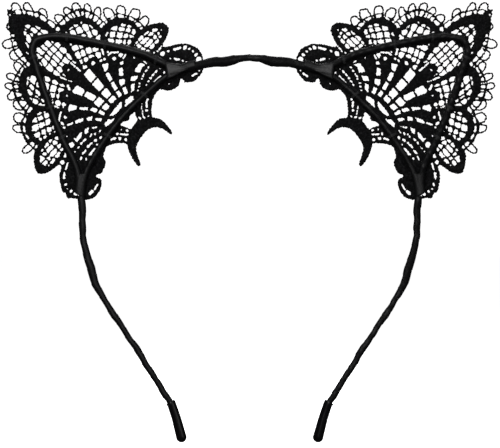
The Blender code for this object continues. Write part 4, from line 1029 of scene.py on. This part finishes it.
def closed_thread(path, radius, around=8):
    """Rings round a closed path, with a twisted two-ply section."""
    ahead = np.roll(path, -1, 0) - np.roll(path, 1, 0)
    ahead /= np.linalg.norm(ahead, axis=1)[:, None]
    middle = path.mean(axis=0)
    outward = path - middle
    outward -= (outward * ahead).sum(1)[:, None] * ahead
    outward /= np.linalg.norm(outward, axis=1)[:, None]
    beside = np.cross(ahead, outward)
    rings = []
    for step in range(around):
        turn = 2 * math.pi * step / around
        lobes = 1 + 0.18 * np.cos(2 * turn + 4 * math.pi * np.arange(len(path)) / 5.6)
        rings.append(path + radius * MM * lobes[:, None] *
                     (math.cos(turn) * outward + math.sin(turn) * beside))
    return np.stack(rings, axis=1)


# Lace


class Drawing:
    """The lace as a signed distance on a grid: above 0 in the thread, below 0 in the openings."""

    def __init__(self):
        self.u = np.arange(GRID_U[0], GRID_U[1], GRID)
        self.v = np.arange(GRID_V[0], GRID_V[1], GRID)
        self.field = self.polygon(self.smooth(LACE_OUTLINE), 3.0)[0]

    def window(self, low, high, margin):
        """The slices of the grid around a box, and the grid's places in it."""
        columns = slice(*np.searchsorted(self.u, (low[0] - margin, high[0] + margin)))
        rows = slice(*np.searchsorted(self.v, (low[1] - margin, high[1] + margin)))
        u, v = np.meshgrid(self.u[columns], self.v[rows])
        return (rows, columns), u, v

    @staticmethod
    def smooth(points):
        """A closed outline with rounded runs between its points."""
        knots = [Vector(point) for point in points]
        count = len(knots)
        rounded = []
        for index in range(count):
            four = [knots[(index + k) % count] for k in (-1, 0, 1, 2)]
            rounded += [between(four, share) for share in (0, 0.34, 0.67)]
        return rounded

    def polygon(self, points, reach):
        """The signed distance to an outline, above 0 inside it, and its place on the grid."""
        corners = np.array([tuple(point) for point in points], float)
        place, u, v = self.window(corners.min(0), corners.max(0), reach)
        away = np.full(u.shape, reach)
        inside = np.zeros(u.shape, bool)
        for a, b in zip(corners, np.roll(corners, -1, 0)):
            low, high = np.minimum(a, b) - reach, np.maximum(a, b) + reach
            columns = slice(*np.searchsorted(u[0], (low[0], high[0])))
            rows = slice(*np.searchsorted(v[:, 0], (low[1], high[1])))
            near = (rows, columns)
            away[near] = np.minimum(away[near], segment_distance(u[near], v[near], a, b))
            if a[1] != b[1]:
                crossed = (v[:, 0] >= min(a[1], b[1])) & (v[:, 0] < max(a[1], b[1]))
                cut = a[0] + (v[crossed, :1] - a[1]) * (b[0] - a[0]) / (b[1] - a[1])
                inside[crossed] ^= u[crossed] < cut
        whole = np.full((len(self.v), len(self.u)), -reach)
        whole[place] = np.where(inside, away, -away)
        return whole, place

    def cut(self, place, distance):
        """Open a hole: the distance is above 0 in the hole."""
        self.field[place] = np.minimum(self.field[place], -distance)

    def cut_polygon(self, points, growth=0.0):
        """Open a hole with corners, which reaches the growth past its outline."""
        whole, place = self.polygon(points, 2.6)
        self.cut(place, whole[place] + growth)

    def cut_ellipse(self, u, v, half_width, half_height):
        place, grid_u, grid_v = self.window((u - half_width, v - half_height),
                                            (u + half_width, v + half_height), 2.6)
        self.cut(place, -ellipse_distance(grid_u - u, grid_v - v, half_width, half_height))

    def cut_slot(self, u0, v0, u1, v1, half_width):
        a, b = np.array((u0, v0)), np.array((u1, v1))
        place, u, v = self.window(np.minimum(a, b), np.maximum(a, b), 2.6 + half_width)
        self.cut(place, half_width - segment_distance(u, v, a, b))

    def add_thread(self, points):
        """A thread along an open path, rounded between its points."""
        knots = [Vector(point) for point in points]
        knots = [2 * knots[0] - knots[1], *knots, 2 * knots[-1] - knots[-2]]
        path = [between(knots[index:index + 4], share)
                for index in range(len(points) - 1) for share in (0, 0.25, 0.5, 0.75)]
        path = np.array([tuple(point) for point in (*path, knots[-2])])
        place, u, v = self.window(path.min(0), path.max(0), 1.5)
        away = np.min([segment_distance(u, v, a, b) for a, b in zip(path, path[1:])], axis=0)
        self.field[place] = np.maximum(self.field[place], THREAD_WIDTH / 2 - away)


def segment_distance(u, v, a, b):
    run = b - a
    share = np.clip(((u - a[0]) * run[0] + (v - a[1]) * run[1]) / max(run @ run, 1e-12), 0, 1)
    return np.hypot(u - a[0] - share * run[0], v - a[1] - share * run[1])


def ellipse_distance(u, v, half_width, half_height):
    """About the distance to an ellipse, below 0 inside it."""
    scaled = np.hypot(u / half_width, v / half_height) + 1e-9
    slope = np.hypot(u / half_width ** 2, v / half_height ** 2) + 1e-9
    return np.maximum((scaled - 1) * scaled / slope, -min(half_width, half_height))


def soften(values, rounds):
    for _ in range(rounds):
        padded = np.pad(values, 1, mode="edge")
        values = (padded[:-2, 1:-1] + padded[2:, 1:-1] + padded[1:-1, :-2] + padded[1:-1, 2:]
                  + 2 * values) / 6
    return values


def ripple(u, v, seed, shortest, longest, count=14):
    """A smooth random surface between about -1 and 1."""
    source = random.Random(seed)
    total = np.zeros_like(u)
    for _ in range(count):
        angle = source.uniform(0, 2 * math.pi)
        rate = 2 * math.pi / source.uniform(shortest, longest)
        phase = source.uniform(0, 2 * math.pi)
        total += np.sin(rate * (math.cos(angle) * u + math.sin(angle) * v) + phase)
    return total / math.sqrt(count)


def draw_lace():
    drawing = Drawing()
    for outline in (*HUB_OPENINGS, *SPOKE_OPENINGS):
        drawing.cut_polygon(outline)
    for outline in (*LEAF_OPENINGS, *LEAF_TIP_OPENINGS, *SIDE_NET_OPENINGS, *SCALLOP_OPENINGS,
                    *SIDE_LEAF_OPENINGS, *LADDER_OPENINGS):
        drawing.cut_polygon(outline, OPENING_GROWTH)
    for left, right, low, high in LEAF_BOXES:
        drawing.cut_polygon(((left, low), (right, low), (right, high), (left, high)))
    for eye in (*HUB_EYES, *LOBE_EYES, *BUNDLE_EYES, *SPOKE_EYES, *NET_EYES, *CURL_EYES):
        drawing.cut_ellipse(*eye)
    for opening in SLOTS:
        drawing.cut_slot(*opening)
    for loop in PICOTS:
        drawing.add_thread(loop)
    return drawing


def strands(field, seed):
    """Thread lines laid across every bar and satin patch, from 0 to 1."""
    smooth = soften(np.clip(field, -0.6, 2.4), 6)
    slope_v, slope_u = np.gradient(smooth)
    size = np.hypot(slope_u, slope_v) + 1e-6
    slope_u, slope_v = slope_u / size, slope_v / size
    noise = np.random.default_rng(seed).random(field.shape)
    rows, columns = np.indices(field.shape)
    total = noise.copy()
    for way in (-1, 1):
        row, column = rows.astype(float), columns.astype(float)
        for _ in range(7):
            r = np.clip(np.rint(row).astype(int), 0, field.shape[0] - 1)
            c = np.clip(np.rint(column).astype(int), 0, field.shape[1] - 1)
            turn = np.where(slope_u[r, c] * slope_u + slope_v[r, c] * slope_v < 0, -way, way)
            row += turn * slope_v[r, c]
            column += turn * slope_u[r, c]
            r = np.clip(np.rint(row).astype(int), 0, field.shape[0] - 1)
            c = np.clip(np.rint(column).astype(int), 0, field.shape[1] - 1)
            total += noise[r, c]
    total = (total - total.mean()) / total.std()
    return np.clip(0.5 + 0.25 * total, 0, 1)


def thread_height(field):
    """Half the lace's thickness from the distance to the nearest edge."""
    depth = np.clip(soften(np.clip(field, -0.3, 2.6), 3), 0.02, None)
    return LACE_HALF_THICKNESS * (1 - np.exp(-depth / HEIGHT_SPREAD)) ** 0.7


def contour_triangles(field):
    """Triangles of the grid cut along the field's zero line: their corners as pairs of nodes."""
    rows, columns = field.shape
    node = np.arange(rows * columns).reshape(rows, columns)
    a, b, c, d = node[:-1, :-1], node[:-1, 1:], node[1:, 1:], node[1:, :-1]
    even = (np.indices(a.shape).sum(0) % 2 == 0)[..., None]
    first = np.where(even, np.stack([a, b, c], -1), np.stack([a, b, d], -1)).reshape(-1, 3)
    second = np.where(even, np.stack([a, c, d], -1), np.stack([b, c, d], -1)).reshape(-1, 3)
    triangles = np.concatenate([first, second])
    inside = field.ravel() > 0
    count = inside[triangles].sum(1)
    full = triangles[count == 3]
    pairs = [np.stack([full, full], -1)]
    for wanted in (1, 2):
        part = triangles[count == wanted]
        odd = inside[part] if wanted == 1 else ~inside[part]
        start = odd.argmax(1)
        p, q, r = (part[np.arange(len(part)), (start + k) % 3] for k in range(3))
        if wanted == 1:
            pairs.append(np.stack([np.stack([p, p], -1), np.stack([p, q], -1),
                                   np.stack([p, r], -1)], 1))
        else:
            pairs.append(np.stack([np.stack([p, q], -1), np.stack([q, q], -1),
                                   np.stack([r, r], -1)], 1))
            pairs.append(np.stack([np.stack([p, q], -1), np.stack([r, r], -1),
                                   np.stack([p, r], -1)], 1))
    return np.sort(np.concatenate(pairs), axis=-1)


class LaceSheet:
    """One ear's lace: places, half thicknesses and strand pattern at each corner of its skin."""

    def __init__(self, drawing, seed):
        u, v = np.meshgrid(drawing.u, drawing.v)
        field = soften(drawing.field, 2) + THREAD_SPREAD
        frayed = (FRAY_WAVES * ripple(u, v, seed, 0.7, 1.6)
                  + FRAY_STRANDS * (strands(field, seed + 3) - 0.5))
        field += np.clip(frayed, *FRAY_LIMITS)
        away = np.where(field > 0, LEAST_FIELD, -LEAST_FIELD)
        field = np.where(np.abs(field) < LEAST_FIELD, away, field)
        corners = contour_triangles(field)
        keys, self.triangles = np.unique(corners.reshape(-1, 2), axis=0, return_inverse=True)
        self.triangles = self.triangles.reshape(-1, 3)
        flat = field.ravel()
        first, second = keys[:, 0], keys[:, 1]
        self.on_edge = first != second
        gap = np.where(self.on_edge, flat[first] - flat[second], 1)
        share = np.where(self.on_edge, flat[first] / gap, 0)
        self.u = u.ravel()[first] + share * (u.ravel()[second] - u.ravel()[first])
        self.v = v.ravel()[first] + share * (v.ravel()[second] - v.ravel()[first])
        height = thread_height(field)
        self.front = self.half_thickness(height, strands(field, seed), keys)
        self.back = self.half_thickness(height, strands(field, seed + 1), keys)
        self.wave = SHEET_WAVE * ripple(self.u, self.v, seed + 2, 14, 40, 8)

    def half_thickness(self, height, strand, keys):
        shown = np.clip(height / RELIEF_SPREAD, 0, 1)
        relief = height + STRAND_RELIEF * (strand - 0.5) * shown
        values = np.where(self.on_edge, 0, relief.ravel()[keys[:, 0]])
        return values, strand.ravel()[keys[:, 0]]

    def panel(self, low, high):
        """Points (u, v, depth), triangles and strands of the part with v from low to high."""
        middle = self.v[self.triangles].mean(1)
        chosen = self.triangles[(middle >= low) & (middle < high)]
        used, front = np.unique(chosen, return_inverse=True)
        front = front.reshape(-1, 3)
        edge = self.on_edge[used]
        back_of = np.arange(len(used))
        back_of[~edge] = len(used) + np.arange((~edge).sum())
        shared = used[~edge]
        points = np.stack([np.concatenate([self.u[used], self.u[shared]]),
                           np.concatenate([self.v[used], self.v[shared]]),
                           np.concatenate([self.wave[used] - self.front[0][used],
                                           self.wave[shared] + self.back[0][shared]])], 1)
        strand = np.concatenate([self.front[1][used], self.back[1][shared]])
        walls = self.walls(front, back_of, len(used))
        triangles = np.concatenate([front, back_of[front][:, ::-1], walls])
        return points, triangles, strand

    @staticmethod
    def walls(front, back_of, count):
        """Triangles that close the cut between two panels."""
        edges = np.concatenate([front[:, [0, 1]], front[:, [1, 2]], front[:, [2, 0]]])
        keys = np.sort(edges, axis=1) @ np.array([count, 1])
        _, places, times = np.unique(keys, return_index=True, return_counts=True)
        a, b = edges[places[times == 1]].T
        first = np.stack([b, a, back_of[a]], 1)
        second = np.stack([b, back_of[a], back_of[b]], 1)
        return np.concatenate([first[back_of[a] != a], second[back_of[b] != b]])


def lace_space(points, side):
    """Points (u, v, depth) of the lace drawing as points in space."""
    u, v, depth = points.T
    x = LACE_HUB[0] - u * math.cos(LACE_TILT) + v * math.sin(LACE_TILT)
    z = LACE_HUB[1] + u * math.sin(LACE_TILT) + v * math.cos(LACE_TILT)
    return np.stack([side * x, LACE_MIDDLE + depth, z], axis=1) * MM


def add_lace(side_name, drawing, material):
    side = SIDES[side_name]
    sheet = LaceSheet(drawing, 40 + side)
    cuts = (GRID_V[0] - 1, *LACE_CUTS, GRID_V[1] + 1)
    names = ("hub", "fan", "net", "leaf")
    for number, (part, low, high) in enumerate(zip(names, cuts, cuts[1:])):
        points, triangles, strand = sheet.panel(low, high)
        points = lace_space(points, side)
        if signed_volume(points, triangles) < 0:
            triangles = triangles[:, ::-1]
        name = f"lace_{part}_{side_name}"
        mesh = triangle_mesh(name, points, triangles, {"strand": strand})
        nodes = [f"lace_{side_name}"] if number == 0 else []
        piece = add_piece(name, mesh, material, nodes)
        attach(piece, "headband")


# The whole object


def dress_cad_nodes(materials):
    """The wires and lashings keep their CAD meshes and get detailed materials."""
    for name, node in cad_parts.items():
        if "wire" in name:
            chosen = materials["steel"]
        elif "lashing" in name:
            chosen = materials["thread"]
        else:
            continue
        for place in node.material_slots:
            place.material = chosen


def build():
    # The turn's satin is a lit copy of the winding's satin with twice the specular level: a
    # painted highlight, so the flat turn reads lighter than the windings as though it faced the
    # lights.
    materials = {"lace": lace_material(), "satin": satin_material("satin_winding_black", 0.075),
                 "turn": satin_material("satin_turn_painted_highlight", 0.15), "vinyl": vinyl_material(),
                 "thread": thread_material(), "steel": steel_material()}
    band = CentreLine(HALF_BAND)
    ear = make_ear_line(band)
    inner = make_corner(band, ear, 0, INNER_FOLD_X)
    outer = make_corner(band, ear, 1, OUTER_FOLD_Z)
    flex = band.where(1, FLEX_Z)
    add_crown_ribbon(band, inner[2][0] + 0.6, materials["satin"])
    drawing = draw_lace()
    ties = [(ear, distance) for distance in EAR_TACKS] + [(band, d) for d in BASE_TACKS]
    for side_name, side in SIDES.items():
        bow = add_wound_ribbon(f"ear_winding_{side_name}", ear, inner[3][1] - 0.8,
                               outer[3][1] + 0.8, side, lambda d: RIBBON_RADIUS,
                               [f"ear_ribbon_{side_name}"], materials["satin"], 30 + side)
        base = add_wound_ribbon(f"base_winding_{side_name}", band, inner[2][1] - 0.8,
                                outer[2][1] + 0.8, side, lambda d: BASE_RADIUS,
                                [f"base_ribbon_{side_name}"], materials["satin"], 50 + side)
        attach(bow, "headband")
        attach(base, "headband")
        add_gather(f"gather_inner_{side_name}", inner, side, f"fold_inner_{side_name}",
                   materials["satin"], 60, 0.3)
        add_turn(side_name, materials["turn"])
        add_gather(f"gather_outer_{side_name}", outer, side, f"fold_outer_{side_name}",
                   materials["satin"], 61, 0)
        add_leg(band, flex, side_name, materials)
        for number, (line, distance) in enumerate(ties, start=1):
            add_tie(number, line.at(distance), line.direction(distance), side_name,
                    materials["thread"])
        add_lace(side_name, drawing, materials["lace"])
    dress_cad_nodes(materials)


# Studio

CAMERA_LENS = 150
SENSOR = 36
VIEW_WIDTH = 200.0
VIEW_CENTRE = (0.1, -65.3)
FLOOR_Z = -166.0
FLOOR_REACH = 6.0  # metres
FLOOR_GLOW = 0.9
WALL_GLOW = 1.0
BACKDROP_RADIUS = 9.0
SURROUND = 0.12
LIGHTS = (
    ("key", (-160, -620, 260), (0, 0, -50), 150, 4.5),
    ("front", (-30, -760, 40), (0, 0, -50), 220, 3.4),
    ("fill", (380, -520, -40), (0, 0, -60), 300, 1.2),
    ("top", (0, -60, 620), (0, 0, -40), 260, 3.0),
    ("back", (0, 600, 300), (0, 0, -40), 400, 4.0),
)


def add_area_light(name, place, target, size, power):
    light = bpy.data.lights.new(name, "AREA")
    light.energy = power
    light.size = size * MM
    lamp = bpy.data.objects.new(name, light)
    lamp.location = Vector(place) * MM
    lamp.rotation_euler = (Vector(target) - Vector(place)).to_track_quat("-Z", "Y").to_euler()
    bpy.context.scene.collection.objects.link(lamp)


def add_camera():
    data = bpy.data.cameras.new("view")
    data.lens = CAMERA_LENS
    data.sensor_width = SENSOR
    data.clip_end = 20
    camera = bpy.data.objects.new("view", data)
    distance = VIEW_WIDTH * CAMERA_LENS / SENSOR
    camera.location = Vector((VIEW_CENTRE[0], -distance, VIEW_CENTRE[1])) * MM
    camera.rotation_euler = (math.pi / 2, 0, 0)
    bpy.context.scene.collection.objects.link(camera)
    bpy.context.scene.camera = camera


def add_floor():
    reach = FLOOR_REACH
    mesh = bpy.data.meshes.new("studio_floor")
    mesh.from_pydata([(-reach, -reach, 0), (reach, -reach, 0), (reach, reach, 0),
                      (-reach, reach, 0)], [], [(0, 1, 2, 3)])
    mesh.materials.append(stage_material())
    floor = bpy.data.objects.new("studio_floor", mesh)
    floor.location.z = FLOOR_Z * MM
    bpy.context.scene.collection.objects.link(floor)
    floor.visible_glossy = False
    floor.visible_diffuse = False


def add_backdrop():
    """A white studio wall all round, which the lens sees and which gives the object no light."""
    rings, around = 24, 48
    points = []
    for ring in range(rings + 1):
        lift = math.pi * (ring / rings - 0.5)
        for step in range(around):
            turn = 2 * math.pi * step / around
            points.append((BACKDROP_RADIUS * math.cos(lift) * math.cos(turn),
                           BACKDROP_RADIUS * math.cos(lift) * math.sin(turn),
                           BACKDROP_RADIUS * math.sin(lift)))
    faces = []
    for ring in range(rings):
        for step in range(around):
            beside = (step + 1) % around
            faces.append((ring * around + step, ring * around + beside,
                          (ring + 1) * around + beside, (ring + 1) * around + step))
    mesh = bpy.data.meshes.new("studio_wall")
    mesh.from_pydata(points, [], faces)
    mesh.materials.append(wall_material())
    wall = bpy.data.objects.new("studio_wall", mesh)
    bpy.context.scene.collection.objects.link(wall)
    for effect in ("visible_diffuse", "visible_glossy", "visible_transmission",
                   "visible_volume_scatter", "visible_shadow"):
        setattr(wall, effect, False)


def light_world():
    world = bpy.data.worlds.new("studio_surround")
    world.use_nodes = True
    sky = world.node_tree.nodes["Background"]
    sky.inputs["Color"].default_value = (1, 1, 1, 1)
    sky.inputs["Strength"].default_value = SURROUND
    bpy.context.scene.world = world


build()
add_camera()
add_floor()
add_backdrop()
light_world()
for lamp_settings in LIGHTS:
    add_area_light(*lamp_settings)
bpy.context.scene.view_settings.view_transform = "Standard"

bpy.context.view_layer.update()
